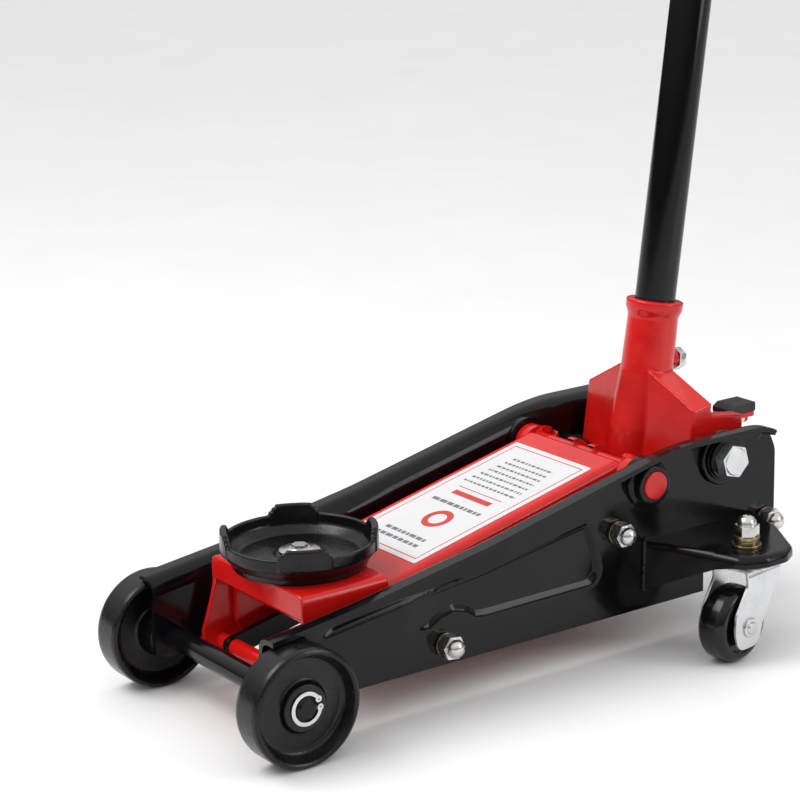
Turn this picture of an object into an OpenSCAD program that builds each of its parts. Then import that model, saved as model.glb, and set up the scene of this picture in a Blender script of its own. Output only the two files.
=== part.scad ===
// Trolley jack: a low wheeled frame with a hydraulic lift arm, a level saddle head,
// two swivel casters and a long pump handle.
// X runs across the jack, Y along it with the saddle towards -Y, Z up from the floor.
// Lengths along Y are first measured from the front axle and then moved to the box centre.

/* [Wheels] */
// Diameter of the cast front wheels
front_wheel_d = 100; // [90:1:104]
// Width of a front wheel
front_wheel_w = 31; // [26:1:34]
// Diameter of the caster wheels
caster_wheel_d = 68; // [60:1:72]
// Width of a caster wheel
caster_wheel_w = 30; // [24:1:32]

/* [Frame] */
// Clear width between the side plates
frame_inner_w = 162; // [158:1:166]
// Thickness of the pressed side plates
plate_t = 4.5; // [4:0.5:5]
// Length from the front axle to the rear end of the side plates
frame_len = 535; // [530:1:545]

/* [Lift arm] */
// Outer width of the lift arm channel
arm_w = 128; // [124:1:130]
// Lift of the arm from its lowest position, degrees
arm_lift = 62; // [40:1:62]
// Diameter of the saddle cup at its rim
saddle_d = 130; // [120:1:134]

/* [Handle] */
// Diameter of the handle tube
handle_d = 36.5; // [34:0.5:38]
// Distance from the handle pivot to the handle's top end
handle_reach = 1120; // [900:10:1200]
// Backward lean of the parked handle, degrees
handle_lean = 8.4; // [6:0.2:10]

/* [Hidden] */
$fn = 64;
fit = 0.05;           // radial play of a running fit
gap = 0.3;            // play between pieces that pass each other

// Frame
plate_in = frame_inner_w / 2;
plate_out = plate_in + plate_t;
flange_out = plate_out + 19;
bush_out = plate_out + 13;
plate_front = -18;
plate_bottom = 36;
plate_low_end = 450;
plate_rear_bottom = 80;
flange_line = [[plate_front, 103.5], [70, 115], [200, 138], [385, 180], [415, 184], [500, 184]];
rear_corner = [500, 149];
rear_corner_r = frame_len - rear_corner[0];
flange_end_angle = 50;

// Nuts and washers
nut_flats = 19;
washer_t = 1.6;
stud_nut_flats = 19;
stud_washer_t = 5;

// Front axle and wheels
axle_d = 20;
axle_z = front_wheel_d / 2;
wheel_in = plate_out + 9.5;
wheel_out = wheel_in + front_wheel_w;
axle_end = wheel_out - 1;
hub_out = wheel_out - 4.5;
hub_d = 40;
ring_t = 1.6;

// Pivots, as [y, z]
arm_pivot = [381, 152];
pin_offset = [-32, -39.5];
link_pivot = arm_pivot + pin_offset;
head_pin = [70, 82];
head_low_pin = head_pin + pin_offset;
handle_pivot = [469, 158];
tie_front = [163, 54];
tie_rear = [524, 90];
tie_d = 12;

// Lift arm
arm_half = arm_w / 2;
arm_t = 6;
arm_depth = 57;
arm_front = 50;
arm_rear = 376;
arm_top_rear = 169;
arm_slope = 0.237;
arm_angle = atan(arm_slope);
shaft_d = 25;
head_pin_d = 16;
low_pin_d = 14;
label_rear = 348;
label_front = 156;
label_w = 105;
label_t = 0.6;

// Ram lever and crosshead
ram_z = 102;
lever_drop = arm_pivot[1] - ram_z;
crosshead_rest_y = arm_pivot[0] + lever_drop * tan(arm_lift / 2);
crosshead_d = 14;
lever_slot = crosshead_d + 3.6;
lever_slot_len = 30;
lever_in = 10;
lever_t = 8;
lever_half = lever_slot / 2 + 6.5;
lever_len = 70;

// Hydraulic unit
cyl_d = 52;
bore_d = 36;
cyl_front = 434;
cyl_rear = 512;
ram_rod_d = 24;
tang_half = 9;
block_front = 472;
block_rear = 534;
block_bottom = 66;
block_top = 122;
pump_x = 46;
quick_x = 31;
roller_r = 8;
roller_reach = 27;
roller_rest = 25;     // degrees above level
roller_at = handle_pivot + roller_reach * [cos(roller_rest), sin(roller_rest)];
pump_y = handle_pivot[0] + roller_reach * (1 + cos(roller_rest)) / 2;
roller_gap = 0.5;     // keeps the cap just clear of the roller over the whole stroke
pump_cap_z = roller_at[1] - roller_r - roller_gap;
pump_d = 12;
quick_y = 512;
quick_d = 8;
quick_top = 150;
quick_low = 112;
quick_stroke = 14;
valve_y = 447;
valve_d = 8;
valve_z = ram_z + bore_d / 2 + 1.5;

// Head and saddle
head_half = 70;
cheek_t = 5;
head_front = 33;
head_rear = 118;
head_top = 120;
head_plate_t = 8;
saddle_y = 77;
saddle_turn = -35;
saddle_base_z = head_top + gap;
rim_z = 144.5;
lug_z = 153;
post_d = 30;

// Casters
stud_x = 152;
stud_y = 439;
shelf_z = 99;
shelf_t = 5;
caster_trail = 20;
caster_turn = 10;
fork_t = 3;
fork_half = caster_wheel_w / 2 + 1.8;
fork_top = 86;
caster_axle_d = 10;

// Handle socket, in a frame that leans with the handle from its pivot
tube_shift = -22.3;   // handle axis ahead of the pivot
socket_d = 46;
socket_low = -18;
socket_top = 127;
handle_low = 40;
ear_in = 57;
ear_out = 73;
lower_tube_top = 560;
clamp_z = 72;
clamp_out = 31;
grip_len = 130;

// Quick-lift pedal
pedal_in = 28;
pedal_t = 7;
pedal_end = 550;
pedal_top = 177;

// The model's place: box centre along Y
handle_top_y = handle_pivot[0] + tube_shift * cos(handle_lean) + handle_reach * sin(handle_lean);
grip_d = handle_d + 7;
box_front = -front_wheel_d / 2;
box_rear = handle_top_y + grip_d / 2 * cos(handle_lean);
shift_y = -(box_front + box_rear) / 2;

// ---------- helpers ----------

module place() { translate([0, shift_y, 0]) children(); }

// Repeats a piece on both sides
module both_sides() {
    children();
    mirror([1, 0, 0]) children();
}

// Extrudes a [y, z] outline along X, from x0 to x1
module along_x(x0, x1) {
    translate([x0, 0, 0]) rotate([90, 0, 90]) linear_extrude(x1 - x0) children();
}

// A cylinder along X through the point [y, z]
module rod_x(p, d, x0, x1) {
    translate([x0, p[0], p[1]]) rotate([0, 90, 0]) cylinder(d = d, h = x1 - x0);
}

// A tube along X
module tube_x(p, d, bore, x0, x1) {
    difference() {
        rod_x(p, d, x0, x1);
        rod_x(p, bore, x0 - 1, x1 + 1);
    }
}

// A hexagonal prism with its base on the XY plane
module hex_prism(across_flats, h) {
    cylinder(d = across_flats / cos(30), h = h, $fn = 6);
}

// A domed nut standing on the XY plane
module acorn_nut(across_flats, bore) {
    flat_h = across_flats * 0.5;
    dome_d = across_flats * 0.88;
    difference() {
        union() {
            hex_prism(across_flats, flat_h);
            translate([0, 0, flat_h]) intersection() {
                sphere(d = dome_d);
                cylinder(d = dome_d + 1, h = dome_d);
            }
        }
        translate([0, 0, -1]) cylinder(d = bore, h = flat_h + 1);
    }
}

// A bar between two [y, z] points with round ends
module link_outline(a, b, r) {
    d = b - a;
    translate(a) circle(r);
    translate(b) circle(r);
    translate(a) rotate(atan2(d[1], d[0])) translate([0, -r]) square([norm(d), 2 * r]);
}

// A helical spring along +Z as a swept tube
module coil_spring(d, wire, h, turns) {
    steps = 12;
    sides = 6;
    rings = turns * steps;
    r = (d - wire) / 2;
    points = [
        for (i = [0:rings]) let (a = 360 * i / steps, z = wire / 2 + (h - wire) * i / rings)
            for (j = [0:sides - 1]) let (b = 360 * j / sides)
                [(r + wire / 2 * cos(b)) * cos(a), (r + wire / 2 * cos(b)) * sin(a), z + wire / 2 * sin(b)]
    ];
    walls = [
        for (i = [0:rings - 1], j = [0:sides - 1]) let (k = (j + 1) % sides)
            [i * sides + j, (i + 1) * sides + j, (i + 1) * sides + k, i * sides + k]
    ];
    ends = [[for (j = [0:sides - 1]) j], [for (j = [0:sides - 1]) (rings + 1) * sides - 1 - j]];
    polyhedron(points = points, faces = concat(walls, ends));
}

// ---------- frame ----------

// Height of the flange line at its inner, lower face
function lowered(points, t) = [for (p = points) [p[0], p[1] - t]];

module web_outline() {
    polygon(concat(
        [[plate_front, plate_bottom], [plate_low_end, plate_bottom],
         [plate_low_end, plate_rear_bottom], [frame_len, plate_rear_bottom],
         [frame_len, rear_corner[1]], rear_corner],
        [for (i = [len(flange_line) - 1:-1:0]) flange_line[i]]));
    intersection() {
        translate(rear_corner) circle(rear_corner_r);
        translate(rear_corner) square(rear_corner_r);
    }
}

module flange_outline() {
    low = lowered(flange_line, plate_t);
    polygon(concat(flange_line, [for (i = [len(low) - 1:-1:0]) low[i]]));
    intersection() {
        translate(rear_corner) difference() {
            circle(rear_corner_r);
            circle(rear_corner_r - plate_t);
        }
        translate(rear_corner) polygon([
            [0, 0], [0, 2 * rear_corner_r], [2 * rear_corner_r, 2 * rear_corner_r],
            2 * rear_corner_r * [cos(flange_end_angle), sin(flange_end_angle)]]);
    }
}

module side_plate() {
    color("#17171a") difference() {
        union() {
            along_x(plate_in, plate_out) web_outline();
            along_x(plate_in, flange_out) flange_outline();
            rod_x(handle_pivot, 50, plate_in, plate_out + 4);
        }
        rod_x([0, axle_z], axle_d, plate_in - 1, plate_out + 1);
        rod_x(arm_pivot, 34, plate_in - 1, plate_out + 1);
        rod_x(link_pivot, tie_d, plate_in - 1, plate_out + 1);
        rod_x(tie_front, tie_d, plate_in - 1, plate_out + 1);
        rod_x(tie_rear, tie_d, plate_in - 1, plate_out + 1);
        rod_x(handle_pivot, 18, plate_in - 1, plate_out + 5);
    }
}

module side_plate_right() { side_plate(); }
module side_plate_left() { mirror([1, 0, 0]) side_plate(); }

// Flanged bushes welded into the plates, in which the arm's shaft turns
module arm_pivot_bushes() {
    color("#17171a") both_sides() difference() {
        union() {
            rod_x(arm_pivot, 34, plate_in - 3, bush_out);
            rod_x(arm_pivot, 44, plate_out, plate_out + 4);
        }
        rod_x(arm_pivot, shaft_d + 2 * fit, plate_in - 4, bush_out + 1);
    }
}

module front_axle() {
    color("#1c1c1f") rod_x([0, axle_z], axle_d, -axle_end, axle_end);
}

// Snap rings that hold the front wheels on the axle
module axle_rings() {
    color("silver") both_sides() difference() {
        tube_x([0, axle_z], 31, axle_d, hub_out + gap, hub_out + gap + ring_t);
        translate([hub_out, 0, axle_z]) rotate([40, 0, 0]) translate([-1, -2, 0]) cube([5, 4, 20]);
    }
}

module tie_rod(p) { rod_x(p, tie_d, -plate_out - 9, plate_out + 9); }
module tie_rod_front() { color("dimgray") tie_rod(tie_front); }
module tie_rod_rear() { color("dimgray") tie_rod(tie_rear); }

// Shouldered bolts that carry the rear ends of the radius rods
module link_bolts() {
    color("dimgray") both_sides() {
        rod_x(link_pivot, tie_d, 38, plate_out + 9);
        rod_x(link_pivot, 20, 34, 38);
        rod_x(link_pivot, 20, plate_in - 4, plate_in);
    }
}

module on_plate(p, lift) {
    translate([plate_out + lift, p[0], p[1]]) rotate([0, 90, 0]) rotate(20) children();
}

module acorn_nuts() {
    color("silver") both_sides() for (p = [tie_front, tie_rear, link_pivot])
        on_plate(p, 2 * washer_t) acorn_nut(nut_flats, tie_d);
}

module nut_washers() {
    color("silver") both_sides() for (p = [tie_front, tie_rear, link_pivot]) {
        tube_x(p, 22, tie_d, plate_out, plate_out + washer_t);
        tube_x(p, 18, tie_d, plate_out + washer_t, plate_out + 2 * washer_t);
    }
}

// ---------- caster brackets and casters ----------

bracket_outline = [[plate_out, 378], [150, 403], [177, 411], [185.5, 432], [185, 455], [176, 473],
                   [125, 502], [plate_out, 508]];

// A pressed shelf with a rolled-down edge, deepest where its front wall meets the plate
// A thick shelf welded to the plate, with a skirt hanging from its front edge
module caster_bracket() {
    skirt_low = 50;
    reach = 200;
    color("#17171a") difference() {
        translate([0, 0, skirt_low]) linear_extrude(shelf_z - skirt_low) polygon(bracket_outline);
        // the hollow under the shelf
        translate([0, 0, skirt_low - 1]) linear_extrude(shelf_z - shelf_t - skirt_low + 1) difference() {
            offset(delta = -shelf_t) polygon(bracket_outline);
            translate([plate_out, 370]) square([1, 150]);
        }
        // the side against the plate is open
        translate([plate_out - 5, 340, skirt_low - 1])
            cube([10 - plate_t, reach, shelf_z - shelf_t - skirt_low + 1.001]);
        // the skirt's lower edge rises away from the plate
        translate([plate_out, 370, skirt_low]) rotate([0, -26, 0]) translate([-20, 0, -60]) cube([160, reach, 60]);
        // outside and behind the skirt only a lip hangs from the shelf
        translate([plate_out + 30, 340, 20]) cube([reach, reach, shelf_z - 10 - 20]);
        translate([plate_out - 1, 418, 20]) cube([reach, 120, shelf_z - 10 - 20]);
        translate([stud_x, stud_y, 0]) cylinder(d = tie_d, h = reach);
    }
}

module caster_bracket_right() { caster_bracket(); }
module caster_bracket_left() { mirror([1, 0, 0]) caster_bracket(); }

module caster_studs() {
    color("silver") both_sides() translate([stud_x, stud_y, 0]) {
        translate([0, 0, fork_top - fork_t - 5]) cylinder(d = tie_d, h = shelf_z + 17 - (fork_top - fork_t - 5));
        translate([0, 0, fork_top - fork_t - 6]) cylinder(d = 20, h = 5.7);
    }
}

module stud_nuts() {
    color("silver") both_sides() translate([stud_x, stud_y, shelf_z + 2 * stud_washer_t])
        acorn_nut(stud_nut_flats, tie_d);
}

module stud_washers() {
    color("silver") both_sides() translate([stud_x, stud_y, shelf_z]) for (i = [0, 1])
        translate([0, 0, i * stud_washer_t]) difference() {
            cylinder(d = 26 - 4 * i, h = stud_washer_t);
            translate([0, 0, -1]) cylinder(d = tie_d, h = stud_washer_t + 2);
        }
}

// The upper ball race, clamped under the bracket
module swivel_ring() {
    color("gainsboro") translate([stud_x, stud_y, fork_top + gap]) difference() {
        cylinder(d = 50, h = shelf_z - shelf_t - fork_top - gap);
        translate([0, 0, -1]) cylinder(d = tie_d, h = 30);
    }
}
module swivel_ring_right() { swivel_ring(); }
module swivel_ring_left() { mirror([1, 0, 0]) swivel_ring(); }

// Moves a piece modelled about the wheel centre, axle along X, to the right caster
module at_caster() {
    translate([stud_x, stud_y, caster_wheel_d / 2]) rotate(caster_turn)
        translate([0, -caster_trail, 0]) children();
}

module fork_leg_outline() {
    leg_r = 19;
    top = fork_top - caster_wheel_d / 2;
    union() {
        circle(leg_r);
        polygon([[-leg_r, 0], [leg_r, -1], [caster_trail + 23, top - 12], [caster_trail + 23, top],
                 [caster_trail - 23, top], [caster_trail - 23, top - 12]]);
    }
}

module fork() {
    top = fork_top - caster_wheel_d / 2;
    color("gainsboro") at_caster() difference() {
        union() {
            both_sides() along_x(fork_half, fork_half + fork_t) fork_leg_outline();
            translate([-fork_half - 1, caster_trail - 23, top - fork_t]) cube([2 * fork_half + 2, 46, fork_t]);
            translate([0, caster_trail, top - fork_t]) cylinder(d = 50, h = fork_t);
        }
        translate([0, caster_trail, 0]) cylinder(d = tie_d + 2 * fit, h = 80);
        rod_x([0, 0], caster_axle_d, -50, 50);
    }
}
module fork_right() { fork(); }
module fork_left() { mirror([1, 0, 0]) fork(); }

module caster_axle() {
    end = fork_half + fork_t;
    color("silver") at_caster() {
        rod_x([0, 0], caster_axle_d, -end, end);
        both_sides() rod_x([0, 0], 15, end, end + 2.2);
    }
}
module caster_axle_right() { caster_axle(); }
module caster_axle_left() { mirror([1, 0, 0]) caster_axle(); }

// A solid wheel with a rounded tread and dished sides
module caster_wheel() {
    r = caster_wheel_d / 2;
    w = caster_wheel_w / 2;
    round = 9;
    color("#1a1a1c") at_caster() rotate([0, 90, 0]) rotate_extrude() difference() {
        union() {
            translate([0, -w]) square([r - round, 2 * w]);
            translate([0, -w + round]) square([r, 2 * (w - round)]);
            for (s = [-1, 1]) translate([r - round, s * (w - round)]) circle(round);
        }
        translate([-1, -50]) square([1 + caster_axle_d / 2 + fit, 100]);
        for (s = [-1, 1]) translate([11, s * w - 3]) square([12, 6]);
    }
}
module caster_wheel_right() { caster_wheel(); }
module caster_wheel_left() { mirror([1, 0, 0]) caster_wheel(); }

// ---------- front wheels ----------

// A cast wheel, dished on both sides of a thin web
module front_wheel() {
    r = front_wheel_d / 2;
    rim = 5;
    web_t = 7;
    color("#202023") translate([0, 0, axle_z]) rotate([0, 90, 0]) rotate_extrude() difference() {
        union() {
            translate([r - rim, wheel_in]) square([rim, front_wheel_w]);
            translate([0, (wheel_in + wheel_out - web_t) / 2]) square([r - 1, web_t]);
            translate([0, plate_out + gap]) square([hub_d / 2, hub_out - plate_out - gap]);
        }
        translate([-1, 0]) square([1 + axle_d / 2 + fit, 200]);
    }
}
module front_wheel_right() { front_wheel(); }
module front_wheel_left() { mirror([1, 0, 0]) front_wheel(); }

// ---------- lift arm ----------

function arm_top(y) = arm_top_rear - arm_slope * (arm_rear - y);

module arm_side_outline() {
    polygon([
        [arm_front, arm_top(arm_front)], [arm_front, 58], [arm_front + 4, 48],
        [arm_front + 12, 41], [75, arm_top(75) - arm_depth], [312, arm_top(312) - arm_depth],
        [346, 128], [arm_pivot[0] - 5, 133], arm_pivot,
        [arm_rear + 10, arm_top_rear - 1], [arm_rear, arm_top_rear]]);
    translate(arm_pivot) circle(19);
}

module arm_top_outline() {
    polygon([
        [arm_front, arm_top(arm_front)], [arm_front, arm_top(arm_front) - arm_t],
        [arm_rear, arm_top_rear - arm_t], [arm_rear + 8, arm_top_rear - arm_t - 3],
        [arm_rear + 10, arm_top_rear - 1], [arm_rear, arm_top_rear]]);
}

// An inverted channel
module lift_arm() {
    color("#d42a1e") difference() {
        union() {
            both_sides() along_x(arm_half - arm_t, arm_half) arm_side_outline();
            along_x(-arm_half, arm_half) arm_top_outline();
            both_sides() rod_x(arm_pivot, 34, arm_half, plate_in - 3 - gap);
        }
        rod_x(arm_pivot, shaft_d, -100, 100);
        rod_x(head_pin, head_pin_d + 2 * fit, -100, 100);
    }
}

module arm_label() {
    run = (label_rear - label_front) / cos(arm_angle);
    color("white") translate([0, label_front, arm_top(label_front)]) rotate([arm_angle, 0, 0])
        translate([-label_w / 2, 0, 0]) cube([label_w, run, label_t]);
}

// The shaft that is fixed in the arm and turns in the frame
module arm_pivot_shaft() {
    color("#d42a1e") rod_x(arm_pivot, shaft_d, -bush_out - 1.5, bush_out + 1.5);
}

// Two forked cheeks on the shaft, which the crosshead pushes
module ram_lever() {
    color("#d42a1e") both_sides() difference() {
        along_x(lever_in, lever_in + lever_t) translate(arm_pivot) rotate(arm_lift / 2) {
            circle(17);
            difference() {
                translate([-lever_half, -lever_len]) square([2 * lever_half, lever_len]);
                translate([-lever_slot / 2, -lever_len - 1]) square([lever_slot, lever_slot_len]);
            }
        }
        rod_x(arm_pivot, shaft_d, 0, 50);
        along_x(0, arm_half) arm_top_outline();
    }
}

// ---------- head and saddle ----------

module head_pivot_pin() {
    color("#d42a1e") {
        rod_x(head_pin, head_pin_d, -head_half - 2, head_half + 2);
    }
}

module cheek_outline() {
    union() {
        polygon([
            [head_front, head_top], [35, 104], [30, 82], [19.5, 52], [19, 43], [head_low_pin[0], 28],
            [46, 34], [100, 62], [112, 80], [head_rear, 102], [head_rear, head_top]]);
        translate(head_low_pin) circle(13);
    }
}

module saddle_head() {
    color("#d42a1e") difference() {
        union() {
            both_sides() along_x(head_half - cheek_t, head_half) cheek_outline();
            translate([-head_half, head_front, head_top - head_plate_t])
                cube([2 * head_half, head_rear - head_front, head_plate_t]);
            translate([-head_half, head_front, head_top - 16]) cube([2 * head_half, 5, 16]);
        }
        rod_x(head_pin, head_pin_d + 2 * fit, -100, 100);
        rod_x(head_low_pin, low_pin_d, -100, 100);
        translate([0, saddle_y, 0]) cylinder(d = post_d + 2 * fit, h = 200);
    }
}

module link_pin() {
    color("#d42a1e") rod_x(head_low_pin, low_pin_d, -head_half - 1, head_half + 1);
}

// A round cup with four lugs on its rim and a post that turns in the head
module saddle() {
    rim_r = saddle_d / 2;
    base_r = rim_r * 0.88;
    wall = 3.6;
    floor_z = saddle_base_z + 8;
    screw_r = 5;
    lug_angle = 38;
    color("#161618") translate([0, saddle_y, 0]) {
        rotate_extrude() polygon([
                [screw_r, head_top - 12], [post_d / 2, head_top - 12], [post_d / 2, saddle_base_z],
                [base_r, saddle_base_z], [base_r + 1, saddle_base_z + 5], [rim_r, saddle_base_z + 12],
                [rim_r, rim_z], [rim_r - wall, rim_z], [rim_r - wall, saddle_base_z + 14],
                [base_r - 4, floor_z], [20, floor_z], [18, floor_z + 3], [screw_r, floor_z + 3]]);
        for (a = [0:90:270]) rotate(saddle_turn + a - lug_angle / 2) rotate_extrude(angle = lug_angle)
            translate([rim_r - 5, saddle_base_z + 13]) square([6, lug_z - saddle_base_z - 13]);
    }
}

module saddle_washer() {
    z = saddle_base_z + 11;
    color("silver") translate([0, saddle_y, z]) rotate_extrude()
        polygon([[5, 0], [17, 0], [17, 1.5], [9, 3.2], [5, 3.2]]);
}

module saddle_screw() {
    z = saddle_base_z + 14.2;
    color("silver") translate([0, saddle_y, 0]) {
        translate([0, 0, head_top - 11]) cylinder(d = 10, h = z - head_top + 11);
        difference() {
            translate([0, 0, z]) cylinder(d = 14, h = 3);
            translate([0, 0, z + 1]) hex_prism(7, 5);
        }
    }
}

module radius_rod() {
    color("#17171a") difference() {
        along_x(44, 50) link_outline(head_low_pin, link_pivot, 9);
        rod_x(link_pivot, tie_d + 2 * fit, 30, 60);
        rod_x(head_low_pin, low_pin_d + 2 * gap, 30, 60);
    }
}
module radius_rod_right() { radius_rod(); }
module radius_rod_left() { mirror([1, 0, 0]) radius_rod(); }

// ---------- hydraulic unit ----------

module along_y(z, y0, y1) {
    translate([0, y1, z]) rotate([90, 0, 0]) linear_extrude(y1 - y0) children();
}

module pump_block() {
    color("#2a2a2d") difference() {
        union() {
            translate([-52, block_front, block_bottom]) cube([112, block_rear - block_front, block_top - block_bottom]);
            rod_x(tie_rear, 22, -plate_in + gap, plate_in - gap);
        }
        along_y(ram_z, block_front - 1, cyl_rear) circle(d = cyl_d);
        rod_x(tie_rear, tie_d, -100, 100);
        translate([pump_x, pump_y, 84]) cylinder(d = pump_d + 2 * fit, h = 60);
        translate([quick_x, quick_y, quick_low - quick_stroke]) cylinder(d = quick_d + 2 * fit, h = 50);
        translate([-40, 500, block_top - 8]) cylinder(d = 10, h = 20);
    }
}

module ram_cylinder() {
    color("#2a2a2d") difference() {
        along_y(ram_z, cyl_front + 6, cyl_rear) difference() {
            circle(d = cyl_d);
            circle(d = bore_d);
        }
        translate([0, valve_y, valve_z]) cylinder(d = valve_d + 2 * fit, h = 20);
    }
}

// Closes the front of the cylinder and guides the ram
module gland_nut() {
    color("#3a3a3e") difference() {
        along_y(ram_z, cyl_front, cyl_front + 6) circle(d = cyl_d - 2);
        along_y(ram_z, cyl_front - 1, cyl_front + 7) circle(d = ram_rod_d + 2 * fit);
    }
}

module ram_rod() {
    color("silver") difference() {
        union() {
            along_y(ram_z, cyl_front, cyl_rear - 11) circle(d = ram_rod_d);
            along_y(ram_z, cyl_rear - 11, cyl_rear - 2) circle(d = bore_d - 2 * fit);
            along_x(-tang_half, tang_half) {
                link_outline([crosshead_rest_y, ram_z], [cyl_front + 2, ram_z], 7.5);
                translate([crosshead_rest_y, ram_z]) circle(13);
            }
        }
        rod_x([crosshead_rest_y, ram_z], crosshead_d, -20, 20);
    }
}

module crosshead_pin() {
    color("silver") rod_x([crosshead_rest_y, ram_z], crosshead_d, -22, 22);
}

module filler_plug() {
    color("#222222") translate([-40, 500, block_top - 8]) {
        cylinder(d = 10, h = 8);
        translate([0, 0, 8]) cylinder(d = 16, h = 4);
    }
}

// Valve stem with a cross slot that the handle's drive turns
// Screwed into the top of the cylinder, with a slot that the handle turns
module release_valve() {
    color("silver") translate([0, valve_y, 0]) difference() {
        union() {
            translate([0, 0, valve_z]) cylinder(d = valve_d, h = 11);
            translate([0, 0, ram_z + cyl_d / 2 + gap]) cylinder(d = 14, h = 3);
        }
        translate([-6, -1, valve_z + 8.5]) cube([12, 2, 5]);
    }
}

module pump_plunger() {
    color("silver") translate([pump_x, pump_y, 0]) {
        translate([0, 0, 108]) cylinder(d = pump_d, h = pump_cap_z - 108);
        translate([0, 0, pump_cap_z - 5]) cylinder(d = 19, h = 5);
    }
}

module pump_spring() {
    color("dimgray") translate([pump_x, pump_y, block_top])
        coil_spring(17.5, 1.6, pump_cap_z - 5 - block_top, 6);
}

module quick_plunger() {
    color("silver") translate([quick_x, quick_y, quick_low]) cylinder(d = quick_d, h = quick_top - quick_low);
}

// ---------- handle ----------

// Moves a piece from the leaning handle frame to its place
module lean() {
    translate([0, handle_pivot[0], handle_pivot[1]]) rotate([-handle_lean, 0, 0]) children();
}

module handle_pivot_bolts() {
    head_x = plate_out + 9;
    color("gainsboro") {
        both_sides() {
            rod_x(handle_pivot, 18, ear_in, head_x);
            translate([head_x, handle_pivot[0], handle_pivot[1]]) rotate([0, 90, 0]) hex_prism(27, 12);
        }
        rod_x(handle_pivot, 12, 24, ear_in);
    }
}

module pivot_washers() {
    color("#1c1c1f") both_sides() {
        tube_x(handle_pivot, 41, 18, plate_out + 4, plate_out + 6.5);
        tube_x(handle_pivot, 38, 18, plate_out + 6.5, plate_out + 9);
    }
}

// Moves a piece to the clamp boss, pointing backwards from the tube's axis
module at_clamp() {
    translate([0, tube_shift, clamp_z]) rotate([-90, 0, 0]) children();
}

module shoulder() {
    translate([0, -6, 0]) rotate([90, 0, 0]) linear_extrude(30)
        polygon([[0, 2], [ear_out - 0.5, 2], [ear_out - 0.5, 40], [22, 64], [0, 64]]);
}

module handle_socket() {
    color("#d42a1e") difference() {
        union() {
            lean() {
                translate([0, tube_shift, socket_low]) cylinder(d = socket_d, h = socket_top - socket_low);
                translate([0, tube_shift, socket_top - 5]) cylinder(d = socket_d + 6, h = 5);
                both_sides() shoulder();
                at_clamp() cylinder(d = 17, h = clamp_out);
            }
            both_sides() rod_x(handle_pivot, 42, ear_in, ear_out);
            along_x(ear_in, ear_out) link_outline(handle_pivot, roller_at, 9);
            along_x(ear_in + 3, ear_out) polygon([[450, 160], [450, 194], [512, 187], [512, 177], [490, 160]]);
        }
        lean() translate([0, tube_shift, socket_low - 1]) {
            cylinder(d = handle_d + 2 * fit, h = 200);
        }
        lean() at_clamp() cylinder(d = 10, h = 40);
        // room for the pedal lever's hub and arm
        lean() translate([pedal_in - 1.5, -14.5, -30]) cube([pedal_t + 3, 30, 57]);
        rod_x(handle_pivot, 18 + 2 * fit, -100, 100);
        rod_x(roller_at, 8, 40, 100);
    }
}

module roller_pin() {
    color("silver") {
        rod_x(roller_at, 8, 40, ear_out);
        rod_x(roller_at, 12, 38, 40);
    }
}

module pump_roller() {
    color("silver") tube_x(roller_at, 2 * roller_r, 8 + 2 * fit, 40 + gap, ear_in - gap);
}

// Locks the handle tube in the socket
module clamp_bolt() {
    color("silver") lean() at_clamp() {
        translate([0, 0, handle_d / 2 + gap]) cylinder(d = 10, h = clamp_out - handle_d / 2);
        translate([0, 0, clamp_out]) hex_prism(18, 7.5);
    }
}

module handle_lower_tube() {
    color("#151517") lean() translate([0, tube_shift, handle_low]) difference() {
        cylinder(d = handle_d, h = lower_tube_top - handle_low);
        translate([0, 0, -1]) cylinder(d = handle_d - 5, h = lower_tube_top);
    }
}

module handle_upper_tube() {
    spigot = 60;
    color("#151517") lean() translate([0, tube_shift, 0]) difference() {
        union() {
            translate([0, 0, lower_tube_top]) cylinder(d = handle_d, h = handle_reach - 4 - lower_tube_top);
            translate([0, 0, lower_tube_top - spigot]) cylinder(d = handle_d - 5, h = spigot + 1);
        }
        translate([0, 0, lower_tube_top - spigot - 1]) cylinder(d = handle_d - 9, h = handle_reach);
    }
}

module handle_grip() {
    color("#222224") lean() translate([0, tube_shift, handle_reach - grip_len]) difference() {
        cylinder(d = grip_d, h = grip_len);
        translate([0, 0, -1]) cylinder(d = handle_d, h = grip_len - 3);
    }
}

// ---------- quick-lift pedal ----------

module pedal_lever() {
    color("#d42a1e") difference() {
        union() {
            along_x(pedal_in, pedal_in + pedal_t) union() {
                translate(handle_pivot) circle(13);
                polygon([[handle_pivot[0] - 4, handle_pivot[1] + 12], [502, pedal_top], [pedal_end, pedal_top],
                         [pedal_end, pedal_top - 12], [519, pedal_top - 14], [517, quick_top + gap],
                         [507, quick_top + gap], [502, 158], [handle_pivot[0] + 8, handle_pivot[1] - 10]]);
            }
            translate([pedal_in - 8, 516, pedal_top - 5]) cube([24, pedal_end - 516, 5]);
        }
        rod_x(handle_pivot, 12 + 2 * fit, 0, 50);
    }
}

module pedal_pad() {
    color("#1d1d1f") translate([pedal_in - 8, 518, pedal_top]) difference() {
        cube([24, pedal_end - 518, 9]);
        translate([-1, -8, 9]) rotate([-20, 0, 0]) cube([30, 20, 10]);
    }
}

module pedal_rivet() {
    color("silver") rod_x([540, pedal_top - 9.5], 8, pedal_in + pedal_t, pedal_in + pedal_t + 3);
}

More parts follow.
